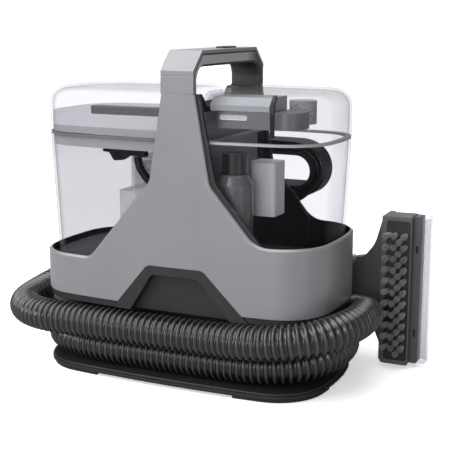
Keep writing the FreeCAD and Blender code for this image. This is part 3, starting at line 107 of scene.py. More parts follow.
class Nodes:
    """A material's node tree with short calls for the nodes that this script uses."""

    # cosine between the flat and the rounded normal, off an edge and on it
    OFF_EDGE, ON_EDGE = 0.997, 0.90
    # how far a face looks away from the outline's middle, in metres, where the mask starts and ends
    INWARD_START, INWARD_END = -0.004, -0.008

    def __init__(self, name):
        self.material = bpy.data.materials.new(name)
        self.material.use_nodes = True
        self.tree = self.material.node_tree
        self.tree.nodes.clear()
        self.output = self.add("ShaderNodeOutputMaterial")
        self.place = self.add("ShaderNodeTexCoord").outputs["Object"]

    def add(self, kind, **settings):
        """A new node with plain settings."""
        node = self.tree.nodes.new(kind)
        for key, value in settings.items():
            setattr(node, key, value)
        return node

    def link(self, source, target):
        """Join an output socket to an input socket."""
        self.tree.links.new(source, target)

    def geometry(self, socket):
        """One of the surface's own measures."""
        return self.add("ShaderNodeNewGeometry").outputs[socket]

    def ray(self, socket):
        """Whether the light's path is of a kind."""
        return self.add("ShaderNodeLightPath").outputs[socket]

    def split(self, source):
        """The X, Y and Z of a vector socket."""
        node = self.add("ShaderNodeSeparateXYZ")
        self.link(source, node.inputs[0])
        return node.outputs

    def noise(self, scale, detail=3.0, roughness=0.55, stretch=None):
        """Noise in object space, from 0 to 1."""
        node = self.add("ShaderNodeTexNoise")
        node.inputs["Scale"].default_value = scale
        node.inputs["Detail"].default_value = detail
        node.inputs["Roughness"].default_value = roughness
        source = self.place
        if stretch:
            mapping = self.add("ShaderNodeMapping")
            mapping.inputs["Scale"].default_value = stretch
            self.link(self.place, mapping.inputs["Vector"])
            source = mapping.outputs["Vector"]
        self.link(source, node.inputs["Vector"])
        return node.outputs["Fac"]

    def ramp(self, source, low, high, to_low, to_high):
        """Map a value range to another, clamped."""
        node = self.add("ShaderNodeMapRange")
        names = ("From Min", "From Max", "To Min", "To Max")
        for name, value in zip(names, (low, high, to_low, to_high)):
            node.inputs[name].default_value = value
        self.link(source, node.inputs["Value"])
        return node.outputs["Result"]

    def sums(self, operation, first, second):
        """Arithmetic on two sockets or numbers."""
        node = self.add("ShaderNodeMath", operation=operation)
        for index, value in enumerate((first, second)):
            if isinstance(value, (int, float)):
                node.inputs[index].default_value = value
            else:
                self.link(value, node.inputs[index])
        return node.outputs[0]

    def blend(self, factor, first, second):
        """Mix two colours; each is a tuple or a socket."""
        node = self.add("ShaderNodeMix", data_type="RGBA")
        self.link(factor, node.inputs["Factor"])
        for name, value in (("A", first), ("B", second)):
            socket = [item for item in node.inputs if item.name == name and item.type == "RGBA"][0]
            if isinstance(value, tuple):
                socket.default_value = value
            else:
                self.link(value, socket)
        return [item for item in node.outputs if item.type == "RGBA"][0]

    def shades(self, factor, colour, darkest, palest):
        """A colour that goes from its darkest to its palest shade."""
        return self.blend(factor, lighter(colour, darkest), lighter(colour, palest))

    def bump(self, height, distance, strength=1.0, normal=None):
        """Surface relief of a height socket over a distance in metres."""
        node = self.add("ShaderNodeBump")
        node.inputs["Strength"].default_value = strength
        node.inputs["Distance"].default_value = distance
        self.link(height, node.inputs["Height"])
        if normal:
            self.link(normal, node.inputs["Normal"])
        return node.outputs["Normal"]

    def rounded(self, radius):
        """A normal that rounds sharp edges, and a mask of those edges."""
        bevel = self.add("ShaderNodeBevel", samples=4)
        bevel.inputs["Radius"].default_value = radius
        compare = self.add("ShaderNodeVectorMath", operation="DOT_PRODUCT")
        self.link(bevel.outputs["Normal"], compare.inputs[0])
        self.link(self.geometry("Normal"), compare.inputs[1])
        edges = self.ramp(compare.outputs["Value"], self.OFF_EDGE, self.ON_EDGE, 0.0, 1.0)
        return bevel.outputs["Normal"], edges

    def inward(self):
        """A mask of the faces that look to the upright axis in the middle of the outline."""
        place, normal = self.split(self.place), self.split(self.geometry("Normal"))
        from_middle = self.sums("SUBTRACT", place["X"], PLAN_CENTRE_X)
        along_x = self.sums("MULTIPLY", from_middle, normal["X"])
        along_y = self.sums("MULTIPLY", place["Y"], normal["Y"])
        outward = self.sums("ADD", along_x, along_y)
        return self.ramp(outward, self.INWARD_START, self.INWARD_END, 0.0, 1.0)

    def satin(self, shader, cloud, roughness, grain_scale, normal):
        """Clouded roughness and a fine grain for a moulding."""
        shine = self.ramp(cloud, 0.3, 0.7, roughness * 0.85, roughness * 1.2)
        self.link(shine, shader.inputs["Roughness"])
        grain = self.bump(self.noise(grain_scale, 2.0), 0.00008, 0.5, normal)
        self.link(grain, shader.inputs["Normal"])

    def mix(self, factor, first, second):
        """A shader from the first to the second by a factor."""
        node = self.add("ShaderNodeMixShader")
        self.link(factor, node.inputs["Fac"])
        self.link(first.outputs[0], node.inputs[1])
        self.link(second.outputs[0], node.inputs[2])
        return node

    def surface(self, shader):
        """Show a shader on the surface; the result is the material."""
        self.link(shader.outputs[0], self.output.inputs["Surface"])
        return self.material


# --------------------------------------------------------------------------------------------------
# Materials
# --------------------------------------------------------------------------------------------------
EDGE_RADIUS = 0.0006
CLEAR_EDGE_RADIUS = 0.0007
COAT_ROUGHNESS = 0.22
# a corrugation's valleys and crests by the geometry's pointiness, and how dark the painted shade in
# the valleys is
VALLEY_POINT, CREST_POINT, VALLEY_SHADE = 0.50, 0.58, 0.35
# a clear wall turns mirror-like from this slope on; shares of gloss there and on edges
RIM_START, RIM_GLOSS, EDGE_GLOSS = 0.55, 0.28, 0.16
RIM_SHADE, CLEAR_SHADOW = 0.92, 0.98
CLEAR_IOR, CLEAR_SPECULAR = 1.49, 0.8
MILK_TINT = (0.98, 0.99, 1.04)
ZONE_TINT = (0.98, 0.985, 1.03)
# y, in metres, where the painted shade on the rear post starts and is full; facing of the underside
# where its painted shade starts and is full
REAR_SHADE_START, REAR_SHADE_FULL = 0.038, 0.062
UNDER_START, UNDER_FULL = -0.2, -0.6


def moulded(name, colour, roughness, grain=0.00012, grain_scale=1400.0, fleck=0.0, coat=0.0,
            edge=1.25, edge_radius=EDGE_RADIUS, mottle=0.10, metallic=0.0, specular=0.5, painted_crest_highlight=0.0,
            inside=0.0):
    """Moulded plastic: mottled colour, satin grain, handling marks and paler edges, partly wear and
    partly a painted highlight.

    The crests of a corrugation get a painted highlight and its valleys a painted shade, by the
    pointiness; inside is the grey of faces that look inwards.
    """
    nodes = Nodes(name)
    base = rgba(colour)
    shader = nodes.add("ShaderNodeBsdfPrincipled")
    edge_normal, edges = nodes.rounded(edge_radius)
    cloud = nodes.ramp(nodes.noise(14.0, 4.0), 0.3, 0.7, 0.0, 1.0)
    tone = nodes.shades(cloud, base, 1 - mottle, 1 + mottle)
    if fleck:
        sparkle = nodes.ramp(nodes.noise(5200.0, 1.0), 0.60, 0.72, 0.0, fleck)
        tone = nodes.blend(sparkle, tone, lighter(base, 2.4))
    if painted_crest_highlight:
        # painted highlight on a corrugation's crests and painted shade in its valleys
        rib_light_and_shade = nodes.ramp(nodes.geometry("Pointiness"), VALLEY_POINT, CREST_POINT, 0.0, 1.0)
        tone = nodes.shades(rib_light_and_shade, base, VALLEY_SHADE, painted_crest_highlight)
    scuffs = nodes.noise(46.0, 6.0, 0.7)
    # paler edges: partly wear, partly a painted highlight where the edges catch the light
    edge_wear_and_highlight = nodes.sums("MULTIPLY", edges, nodes.ramp(scuffs, 0.35, 0.65, 0.25, 1.0))
    tone = nodes.blend(edge_wear_and_highlight, tone, lighter(base, edge))
    if inside:
        tone = nodes.blend(nodes.inward(), tone, rgba(inside))
    nodes.link(tone, shader.inputs["Base Color"])
    marks = nodes.ramp(scuffs, 0.35, 0.75, roughness * 0.88, min(1.0, roughness * 1.18))
    nodes.link(marks, shader.inputs["Roughness"])
    shader.inputs["Metallic"].default_value = metallic
    shader.inputs["Specular IOR Level"].default_value = specular
    shader.inputs["Coat Weight"].default_value = coat
    shader.inputs["Coat Roughness"].default_value = COAT_ROUGHNESS
    relief = nodes.bump(nodes.noise(grain_scale, 2.0), grain, 0.6, edge_normal)
    nodes.link(relief, shader.inputs["Normal"])
    return nodes.surface(shader)


def clear(name, tint, roughness=0.05, milk=0.008, body=0.36):
    """Clear moulded plastic: faintly grey face on, and mirror-like at its edges.

    Milk is the share of the plastic's own grey that shows, and body is that grey.
    """
    nodes = Nodes(name)
    smears = nodes.noise(24.0, 5.0, 0.65)
    edge_normal, edges = nodes.rounded(CLEAR_EDGE_RADIUS)
    slope = nodes.add("ShaderNodeLayerWeight")
    slope.inputs["Blend"].default_value = 0.5
    rim = nodes.ramp(slope.outputs["Facing"], RIM_START, 1.0, 0.0, 1.0)
    through = nodes.add("ShaderNodeBsdfTransparent")
    seen = nodes.blend(rim, rgba(tint), lighter(tint, RIM_SHADE))
    filtered = nodes.blend(nodes.ray("Is Shadow Ray"), seen, rgba(CLEAR_SHADOW))
    nodes.link(filtered, through.inputs["Color"])
    gloss = nodes.add("ShaderNodeBsdfPrincipled")
    gloss.inputs["IOR"].default_value = CLEAR_IOR
    gloss.inputs["Specular IOR Level"].default_value = CLEAR_SPECULAR
    smeared = nodes.ramp(smears, 0.35, 0.65, 0.0, 1.0)
    hazy = nodes.shades(smeared, tinted(body, MILK_TINT), 0.92, 1.1)
    nodes.link(hazy, gloss.inputs["Base Color"])
    nodes.link(nodes.ramp(smears, 0.3, 0.8, roughness, roughness * 3.0), gloss.inputs["Roughness"])
    relief = nodes.bump(nodes.noise(160.0, 3.0, 0.6), 0.00002, 0.4, edge_normal)
    nodes.link(relief, gloss.inputs["Normal"])
    milky = nodes.ramp(smears, 0.35, 0.7, milk * 0.9, milk * 1.1)
    face = nodes.sums("ADD", milky, nodes.sums("MULTIPLY", rim, RIM_GLOSS))
    share = nodes.sums("MAXIMUM", face, nodes.sums("MULTIPLY", edges, EDGE_GLOSS))
    return nodes.surface(nodes.mix(nodes.sums("MINIMUM", share, 1.0), through, gloss))


def painted_shade_moulding(name, light, dark, roughness):
    """Pale moulding with painted shade: dark grey on its underside and its rear post."""
    nodes = Nodes(name)
    shader = nodes.add("ShaderNodeBsdfPrincipled")
    edge_normal, edges = nodes.rounded(EDGE_RADIUS)
    # painted shade: the rear post and the faces that look down go to the dark grey
    rear = nodes.ramp(nodes.split(nodes.place)["Y"], REAR_SHADE_START, REAR_SHADE_FULL, 0.0, 1.0)
    facing = nodes.split(nodes.geometry("Normal"))["Z"]
    under = nodes.ramp(facing, UNDER_START, UNDER_FULL, 0.0, 1.0)
    cloud = nodes.noise(30.0, 4.0)
    pale = nodes.shades(cloud, light, 0.93, 1.07)
    soft = nodes.shades(cloud, dark, 0.8, 1.3)
    tone = nodes.blend(nodes.sums("MAXIMUM", rear, under), pale, soft)
    # paler edges: partly wear, partly a painted highlight where the edges catch the light
    edge_wear_and_highlight = nodes.blend(nodes.sums("MULTIPLY", edges, 0.4), tone, rgba(0.5))
    nodes.link(edge_wear_and_highlight, shader.inputs["Base Color"])
    nodes.satin(shader, cloud, roughness, 1500.0, edge_normal)
    return nodes.surface(shader)


def zoned(name, zones, roughness, coat=0.0):
    """Moulding in plain zones; each is the height in metres where it starts, and its grey."""
    nodes = Nodes(name)
    shader = nodes.add("ShaderNodeBsdfPrincipled")
    edge_normal, edges = nodes.rounded(EDGE_RADIUS)
    height = nodes.split(nodes.place)["Z"]
    cloud = nodes.noise(22.0, 4.0)
    tone = None
    for start, grey in zones:
        clouded = nodes.shades(cloud, tinted(grey, ZONE_TINT), 0.93, 1.07)
        above = nodes.sums("GREATER_THAN", height, start)
        tone = nodes.blend(above, tone, clouded) if tone else clouded
    # paler edges: partly wear, partly a painted highlight where the edges catch the light
    edge_wear_and_highlight = nodes.blend(nodes.sums("MULTIPLY", edges, 0.3), tone, rgba(0.6))
    nodes.link(edge_wear_and_highlight, shader.inputs["Base Color"])
    shader.inputs["Coat Weight"].default_value = coat
    nodes.satin(shader, cloud, roughness, 1300.0, edge_normal)
    return nodes.surface(shader)


def metal(name, colour, roughness):
    """Bare metal with a drawn grain."""
    nodes = Nodes(name)
    shader = nodes.add("ShaderNodeBsdfPrincipled")
    grain = nodes.noise(900.0, 3.0, 0.6, stretch=(1.0, 1.0, 12.0))
    nodes.link(nodes.shades(grain, rgba(colour), 0.85, 1.1), shader.inputs["Base Color"])
    shine = nodes.ramp(grain, 0.3, 0.7, roughness * 0.8, roughness * 1.3)
    nodes.link(shine, shader.inputs["Roughness"])
    shader.inputs["Metallic"].default_value = 1.0
    nodes.link(nodes.bump(grain, 0.00004), shader.inputs["Normal"])
    return nodes.surface(shader)


def porous(name, colour):
    """Open-cell foam with painted shade in its pores."""
    nodes = Nodes(name)
    shader = nodes.add("ShaderNodeBsdfPrincipled")
    cells = nodes.add("ShaderNodeTexVoronoi")
    cells.inputs["Scale"].default_value = 700.0
    nodes.link(nodes.place, cells.inputs["Vector"])
    # the pores are darker towards their middles: painted shade in the holes
    depth = nodes.ramp(cells.outputs["Distance"], 0.05, 0.5, 0.0, 1.0)
    nodes.link(nodes.shades(depth, rgba(colour), 0.25, 1.15), shader.inputs["Base Color"])
    shader.inputs["Roughness"].default_value = 0.95
    nodes.link(nodes.bump(depth, 0.0006), shader.inputs["Normal"])
    return nodes.surface(shader)


SHELL_GREY = (0.235, 0.237, 0.252)
SHELL_FINISH = {"fleck": 0.3, "coat": 0.3, "edge_radius": 0.0009, "mottle": 0.03, "grain": 0.00004,
                "metallic": 0.2}

# the look of each material slot
LOOKS = {
    "grey_shell": moulded("grey_shell", SHELL_GREY, 0.33, edge=1.7, **SHELL_FINISH),
    "dark_band": moulded("dark_band", (0.020, 0.021, 0.023), 0.35, specular=0.35),
    "light_trim": moulded("light_trim", (0.42, 0.43, 0.45), 0.30, edge=1.2, mottle=0.04),
    "charcoal": moulded("charcoal", (0.022, 0.022, 0.023), 0.45, grain=0.0002, grain_scale=1100.0,
                        edge=1.9, specular=0.35),
    "black_plastic": moulded("black_plastic", (0.006, 0.006, 0.0075), 0.30, edge=2.0, specular=0.3),
    "clear_plastic": clear("clear_plastic", (0.862, 0.864, 0.876)),
    "pale_inner": moulded("pale_inner", (0.66, 0.67, 0.70), 0.45, edge=1.15, mottle=0.05),
    "mist_plastic": moulded("mist_plastic", (0.19, 0.19, 0.205), 0.30, edge=1.5, mottle=0.05,
                            coat=0.2),
    "smoky_inner": moulded("smoky_inner", (0.055, 0.056, 0.065), 0.25, coat=0.4),
    "seal_rubber": moulded("seal_rubber", (0.014, 0.014, 0.015), 0.72, grain=0.0003),
    # the hose's crests carry a painted highlight and its valleys a painted shade
    "hose_plastic": moulded("hose_plastic", (0.015, 0.0152, 0.0156), 0.28, grain=0.00003, edge=1.4,
                            coat=0.4, painted_crest_highlight=3.6),
    "cord_rubber": moulded("cord_rubber", (0.010, 0.010, 0.011), 0.26, grain=0.00005,
                           grain_scale=2200.0, coat=0.5),
    "bristle": moulded("bristle", (0.50, 0.50, 0.505), 0.55, mottle=0.35, edge=1.0),
    "steel": metal("steel", (0.60, 0.60, 0.61), 0.28),
    "copper": metal("copper", (0.72, 0.36, 0.18), 0.35),
    "board": moulded("board", (0.02, 0.11, 0.05), 0.35, coat=0.3),
    "foam": porous("foam", (0.45, 0.455, 0.47)),
}

# nodes whose moulding differs from the rest of their slot
OWN_LOOKS = {
    # the handle's core has painted shade on its rear post and its underside
    "handle_core": painted_shade_moulding("handle_core", rgba(0.42), rgba(0.035), 0.34),
    "centre_tower": zoned("centre_tower", ((0.0, 0.010), (0.192, 0.62)), 0.42),
    "clean_tank_shell": clear("clean_tank", (0.797, 0.799, 0.810)),
    "clean_lid": clear("clean_cover", (0.895, 0.896, 0.908)),
    "dirty_lid": clear("dirty_cover", (0.858, 0.860, 0.872)),
    "clear_lip": clear("clear_lip", (0.85, 0.85, 0.87), milk=0.18, body=0.85),
    "clean_level_block": clear("clean_level_block", (0.93, 0.93, 0.94), roughness=0.2, milk=0.36,
                               body=0.95),
    "clean_lid_pan": zoned("clean_lid_pan", ((0.0, 0.38), (0.2438, 0.60), (0.2571, 0.10)), 0.35,
                           coat=0.2),
    "clean_tank_rim": moulded("clean_tank_rim", (0.52, 0.525, 0.55), 0.35, mottle=0.05, coat=0.2),
    "clean_gasket": moulded("clean_gasket", (0.12, 0.12, 0.135), 0.5, mottle=0.2),
    "dirty_gasket": moulded("dirty_gasket", (0.34, 0.34, 0.36), 0.5, mottle=0.2),
    "dirty_riser": zoned("dirty_riser", ((0.0, 0.150), (0.2055, 0.022)), 0.20, coat=0.5),
    "float_cage": moulded("float_cage", (0.80, 0.80, 0.84), 0.35, mottle=0.04, edge=1.15),
    "tool_head": moulded("tool_head", (0.095, 0.096, 0.100), 0.40, grain=0.0002, edge=1.6),
    "bristle_plate": moulded("bristle_plate", (0.012, 0.012, 0.013), 0.5, grain=0.0002),
    "suction_strip": moulded("suction_strip", (0.075, 0.075, 0.088), 0.35, grain=0.0001, edge=1.6),
    # the shell's paler edges are partly a painted highlight along its chamfers
    "main_shell": moulded("main_shell", SHELL_GREY, 0.33, edge=2.2, inside=0.008, **SHELL_FINISH),
    # the liners' edges are lightened strongly: a painted highlight along the lip
    "yoke_liners": moulded("yoke_liners", (0.008, 0.008, 0.010), 0.22, edge=22.0,
                           edge_radius=0.0008, coat=0.4),
}


def dress_cad_nodes():
    """Give every CAD node its own material or that of its slot in the record."""
    for entry in frame["record"]["subparts"]:
        piece = NODES[entry["node"]]
        piece.data.materials.clear()
        piece.data.materials.append(OWN_LOOKS.get(entry["node"]) or LOOKS[entry["material_slot"]])


dress_cad_nodes()


# --------------------------------------------------------------------------------------------------
# Curve and mesh helpers
# --------------------------------------------------------------------------------------------------
def add_piece(name, mesh, body, slot_name, smooth=True):
    """A mesh as a piece that rides on a CAD body and takes its slot's material."""
    piece = put(bpy.data.objects.new(name, mesh))
    piece.data.materials.append(LOOKS[slot_name])
    for polygon in mesh.polygons:
        polygon.use_smooth = smooth
    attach(piece, body)
    return piece


def spline_curve(name, points):
    """A smooth open curve in the scene with these control points, in metres."""
    data = bpy.data.curves.new(name, "CURVE")
    data.dimensions = "3D"
    data.resolution_u = 12
    spline = data.splines.new("NURBS")
    spline.points.add(len(points) - 1)
    for point, place in zip(spline.points, points):
        point.co = (*place, 1.0)
    spline.order_u = 3
    spline.use_endpoint_u = True
    return put(bpy.data.objects.new(name, data))


def centre_line(name, points):
    """Points along the smooth curve through a route, read back from the curve itself."""
    curve = spline_curve(name, points)
    bpy.context.view_layer.update()
    mesh = bpy.data.meshes.new_from_object(curve)
    line = [vertex.co.copy() for vertex in mesh.vertices]
    bpy.data.objects.remove(curve)
    bpy.data.meshes.remove(mesh)
    return line


def evenly(line, step):
    """Points at even distances along a polyline."""
    spaced, travelled, goal = [line[0]], 0.0, step
    for start, stop in zip(line, line[1:]):
        length = (stop - start).length
        while length > 0 and travelled + length >= goal:
            spaced.append(start.lerp(stop, (goal - travelled) / length))
            goal += step
        travelled += length
    spaced.append(line[-1])
    return spaced


def circle(mesh, place, across, other, radius, sides):
    """A ring of new vertices round a place, in the plane of two unit vectors."""
    ring = []
    for side in range(sides):
        angle = 2 * math.pi * side / sides
        offset = across * math.cos(angle) + other * math.sin(angle)
        ring.append(mesh.verts.new(place + offset * radius))
    return ring


def wall(mesh, rings):
    """Faces between neighbouring rings of vertices."""
    for low, high in zip(rings, rings[1:]):
        for side in range(len(low)):
            turn = (side + 1) % len(low)
            mesh.faces.new((low[side], low[turn], high[turn], high[side]))


def finished(name, mesh):
    """A mesh from an edit mesh, with its faces turned outwards."""
    bmesh.ops.recalc_face_normals(mesh, faces=mesh.faces)
    data = bpy.data.meshes.new(name)
    mesh.to_mesh(data)
    mesh.free()
    return data


def swept_tube(name, line, radii, sides):
    """A capped tube along a line, with a radius at each of its points, turned without twist."""
    mesh = bmesh.new()
    tangents = []
    for index in range(len(line)):
        before, after = line[max(0, index - 1)], line[min(len(line) - 1, index + 1)]
        tangents.append((after - before).normalized())
    across = tangents[0].orthogonal().normalized()
    rings = []
    for place, tangent, radius in zip(line, tangents, radii):
        across = (across - tangent * across.dot(tangent)).normalized()
        rings.append(circle(mesh, place, across, tangent.cross(across), radius, sides))
    wall(mesh, rings)
    mesh.faces.new(list(reversed(rings[0])))
    mesh.faces.new(rings[-1])
    return finished(name, mesh)


# --------------------------------------------------------------------------------------------------
# Suction hose
# --------------------------------------------------------------------------------------------------
HOSE_DIAMETER = 0.033
HOSE_SIDES = 36
HOSE_PATH_STEP = 0.004
RIB_PITCH = 0.0064
# millimetres, from the wand's cuff round the drum twice to the port elbow
HOSE_ROUTE = [
    (-90, 103, 82), (-136, 103.5, 78), (-184, 88, 70), (-210, 52, 60), (-217, 6, 52),
    (-208, -42, 50.5), (-168, -76, 53.5), (-108, -80, 54.3), (-40, -79.5, 54.2), (30, -79.8, 54.6),
    (86, -87.5, 58.5), (132, -76, 65), (156, -34, 70), (155.5, 12, 69), (141, 49, 59.5),
    (112, 69.5, 54.4), (70, 77, 54), (10, 80, 54.2), (-60, 78, 50), (-116, 68, 39), (-158, 46, 29),
    (-171, 4, 25.8), (-160, -42, 25.8), (-112, -62, 25.8), (-40, -61.8, 25.8), (30, -62, 25.8),
    (90, -60, 27.5), (124, -34, 32), (133, 8, 35), (120, 44, 33), (84, 61, 28.5), (44, 61.5, 27),
]
# radius at each step through one rib, as a share of the hose's radius
RIB_PROFILE = (0.845, 0.85, 0.91, 0.975, 1.0, 0.975, 0.91, 0.85)


def make_hose():
    """Corrugated hose wound twice round the drum."""
    line = centre_line("hose_line", [mm(*point) for point in HOSE_ROUTE])
    steps = evenly(line, RIB_PITCH / len(RIB_PROFILE))
    radius = HOSE_DIAMETER / 2
    radii = [radius * RIB_PROFILE[index % len(RIB_PROFILE)] for index in range(len(steps))]
    mesh = swept_tube("hose", steps, radii, HOSE_SIDES)
    hose = add_piece("hose", mesh, "root", "hose_plastic")
    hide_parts("suction_hose")
    [tuple(point) for point in evenly(line, HOSE_PATH_STEP)]


make_hose()


# --------------------------------------------------------------------------------------------------
# Power cord
# --------------------------------------------------------------------------------------------------
CORD_DIAMETER = 0.0062
# millimetres, from the strain relief up to the coil, and from the coil down to the plug
CORD_LEAD = [(-66, 92, 164.2), (-66.5, 92.5, 186), (-60, 95, 207), (-44, 97.5, 217.5)]
PLUG_LEAD = [(58, 88.5, 162), (43, 92, 158.8), (25, 97.5, 156.5), (9, 101, 146), (-3, 102.3, 126),
             (-20, 103, 112), (-40, 103, 110.2)]
# the coil in millimetres: x of its bends' centres and their height, radii, and its depth in y
COIL_LEFT, COIL_RIGHT, COIL_Z = -19.5, 54.5, 192.5
COIL_INNER, COIL_OUTER = 21.7, 27.3
COIL_FRONT, COIL_BACK = 87.6, 112.2
COIL_LAYERS, COIL_ROWS = 2, 5
COIL_UNEVENNESS = 0.35
# control points in a turn, and in the last turn, which leaves the coil early
TURN_POINTS, LAST_TURN_POINTS = 16, 7


def racetrack(share, radius):
    """A point on a stadium round the former; share 0 is the left bend's top, going clockwise."""
    straight = COIL_RIGHT - COIL_LEFT
    bend = math.pi * radius
    length = share * 2 * (straight + bend)
    if length < straight:
        return COIL_LEFT + length, COIL_Z + radius
    length -= straight
    if length < bend:
        angle = math.pi / 2 - length / radius
        return COIL_RIGHT + radius * math.cos(angle), COIL_Z + radius * math.sin(angle)
    length -= bend
    if length < straight:
        return COIL_RIGHT - length, COIL_Z - radius
    angle = -math.pi / 2 - (length - straight) / radius
    return COIL_LEFT + radius * math.cos(angle), COIL_Z + radius * math.sin(angle)


def coil_points():
    """Turns side by side, front to back and then back to front, each a little uneven."""
    points = []
    for layer in range(COIL_LAYERS):
        radius = COIL_INNER + (COIL_OUTER - COIL_INNER) * layer / (COIL_LAYERS - 1)
        rearward = layer % 2 == 0
        for row in range(COIL_ROWS):
            place = row if rearward else COIL_ROWS - 1 - row
            ahead = 1 if rearward else -1
            wobble = random.uniform(-COIL_UNEVENNESS, COIL_UNEVENNESS)
            last = row == COIL_ROWS - 1
            leaving = last and layer == COIL_LAYERS - 1
            for step in range(LAST_TURN_POINTS if leaving else TURN_POINTS):
                share = step / TURN_POINTS
                x, z = racetrack(share, radius + wobble)
                drift = 0.0 if last else ahead * share
                depth = COIL_FRONT + (COIL_BACK - COIL_FRONT) * (place + drift) / (COIL_ROWS - 1)
                points.append((x, depth, z))
    return points


def make_power_cord():
    """Cord from the strain relief, wound on its former, to the plug that lies on the wand."""
    route = CORD_LEAD + coil_points() + PLUG_LEAD
    cord = spline_curve("power_cord", [mm(*point) for point in route])
    cord.data.bevel_depth = CORD_DIAMETER / 2
    cord.data.bevel_resolution = 5
    cord.data.use_fill_caps = True
    cord.data.materials.append(LOOKS["cord_rubber"])
    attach(cord, "root")
    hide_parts("power_cord_coil", "power_cord_leads")


make_power_cord()


# --------------------------------------------------------------------------------------------------
# Bristles, in millimetres
# --------------------------------------------------------------------------------------------------
TUFT_ROWS = 11
TUFT_LOW, TUFT_HIGH = 22.6, 137.2
# x of each column at its roots, how far its rows are dropped in pitches, and its tips' lean in x
TUFT_COLUMNS = ((160.2, 0.0, -2.4), (165.6, 0.0, 0.6), (170.8, 0.5, 0.5), (175.9, 0.0, 0.4))
TUFT_RADIUS = 2.5
# how wide a tuft is at its roots and at its tips, as a share of its radius
ROOT_SPREAD, TIP_SPREAD = 0.9, 1.28
TUFT_ROOT_Y, TUFT_LENGTH = 66.4, 10.4
TUFT_SWAY, LENGTH_SPREAD = 0.3, 0.4
FILAMENTS = 60
FILAMENT_RADIUS = 0.30
FILAMENT_SIDES = 3
GOLDEN_ANGLE = 2.39996


def filament(mesh, root, tip, radius):
    """One three-sided bristle with a blunt tip."""
    along = (tip - root).normalized()
    across = along.orthogonal().normalized()
    other = along.cross(across)
    stations = ((root, radius), (root.lerp(tip, 0.6), radius), (tip, radius * 0.9))
    rings = [circle(mesh, place, across, other, width, FILAMENT_SIDES) for place, width in stations]
    wall(mesh, rings)
    mesh.faces.new(rings[-1])
    mesh.faces.new(list(reversed(rings[0])))


def make_bristles():
    """Tufts of nylon filaments in staggered columns that splay a little at their tips."""
    mesh = bmesh.new()
    pitch = (TUFT_HIGH - TUFT_LOW) / (TUFT_ROWS - 1)
    for column, drop, lean_x in TUFT_COLUMNS:
        for row in range(TUFT_ROWS):
            height = TUFT_LOW + pitch * (row - drop)
            lean = Vector((lean_x + random.uniform(-TUFT_SWAY, TUFT_SWAY), 0,
                           random.uniform(-TUFT_SWAY, TUFT_SWAY)))
            for index in range(FILAMENTS):
                reach = TUFT_RADIUS * math.sqrt((index + 0.5) / FILAMENTS)
                angle = index * GOLDEN_ANGLE
                spot = Vector((reach * math.cos(angle), 0, reach * math.sin(angle)))
                root = Vector((column, TUFT_ROOT_Y, height)) + spot * ROOT_SPREAD
                tip_y = TUFT_ROOT_Y - (TUFT_LENGTH - random.uniform(0.0, LENGTH_SPREAD))
                tip = Vector((column, tip_y, height)) + spot * TIP_SPREAD + lean
                filament(mesh, root * MM, tip * MM, FILAMENT_RADIUS * MM)
    bristles = add_piece("bristles", finished("bristles", mesh), "tool", "bristle", smooth=False)
    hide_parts("bristle_tufts")


make_bristles()


# --------------------------------------------------------------------------------------------------
# Window of the filter housing, in millimetres
# --------------------------------------------------------------------------------------------------
WINDOW_LEFT, WINDOW_RIGHT, WINDOW_Z, WINDOW_RADIUS = 36.0, 58.5, 258.9, 2.4
WINDOW_BACK, WINDOW_FRONT = -60.3, -61.1
WINDOW_STEPS = 24
# the rim's width, its slope's width, and how far the floor of the slot lies behind it
WINDOW_RIM, WINDOW_SLOPE, WINDOW_DEPTH = 0.5, 0.2, 0.4
PIPS, PIP_START, PIP_PITCH, PIP_RADIUS = 6, 2, 3.7, 0.7
PIP_FLATNESS = 0.5


def window_ring(mesh, radius, y):
    """The points of a slot-shaped outline at one depth."""
    ring = []
    for step in range(WINDOW_STEPS):
        angle = 2 * math.pi * (step + 0.5) / WINDOW_STEPS - math.pi / 2
        centre = WINDOW_RIGHT if math.cos(angle) > 0 else WINDOW_LEFT
        x, z = centre + radius * math.cos(angle), WINDOW_Z + radius * math.sin(angle)
        ring.append(mesh.verts.new(mm(x, y, z)))
    return ring


def make_window():
    """Pale slot on the front of the filter housing, with a raised rim and a row of small pips."""
    mesh = bmesh.new()
    inner = WINDOW_RADIUS - WINDOW_RIM
    floor_y = WINDOW_FRONT + WINDOW_DEPTH
    outlines = ((WINDOW_RADIUS, WINDOW_BACK), (WINDOW_RADIUS, WINDOW_FRONT), (inner, WINDOW_FRONT),
                (inner - WINDOW_SLOPE, floor_y))
    rings = [window_ring(mesh, radius, y) for radius, y in outlines]
    wall(mesh, rings)
    mesh.faces.new(rings[0])
    mesh.faces.new(rings[-1])
    for index in range(PIPS):
        centre = mm(WINDOW_LEFT + PIP_START + PIP_PITCH * index, floor_y, WINDOW_Z)
        pip = bmesh.ops.create_icosphere(mesh, subdivisions=2, radius=PIP_RADIUS * MM)
        for vertex in pip["verts"]:
            flat = Vector((vertex.co.x, vertex.co.y * PIP_FLATNESS, vertex.co.z))
            vertex.co = flat + centre
    add_piece("filter_window", finished("filter_window", mesh), "dirty_top", "pale_inner",
              smooth=False)


make_window()


# --------------------------------------------------------------------------------------------------
# Stage and light
# --------------------------------------------------------------------------------------------------
FLOOR_REACH, FLOOR_Z = 6.0, -0.0005
FLOOR_COLOUR, FLOOR_ROUGHNESS, FLOOR_GLOW = 0.92, 0.9, 0.50
FLOOR_BOUNCE = 0.38
# the room's strength as a source of light and as the background that is seen
ROOM_LIGHT, ROOM_SEEN = 0.22, 1.0
SUN_STRENGTH, SUN_ANGLE, SUN_TILT = 3.1, 70, (12, -14)
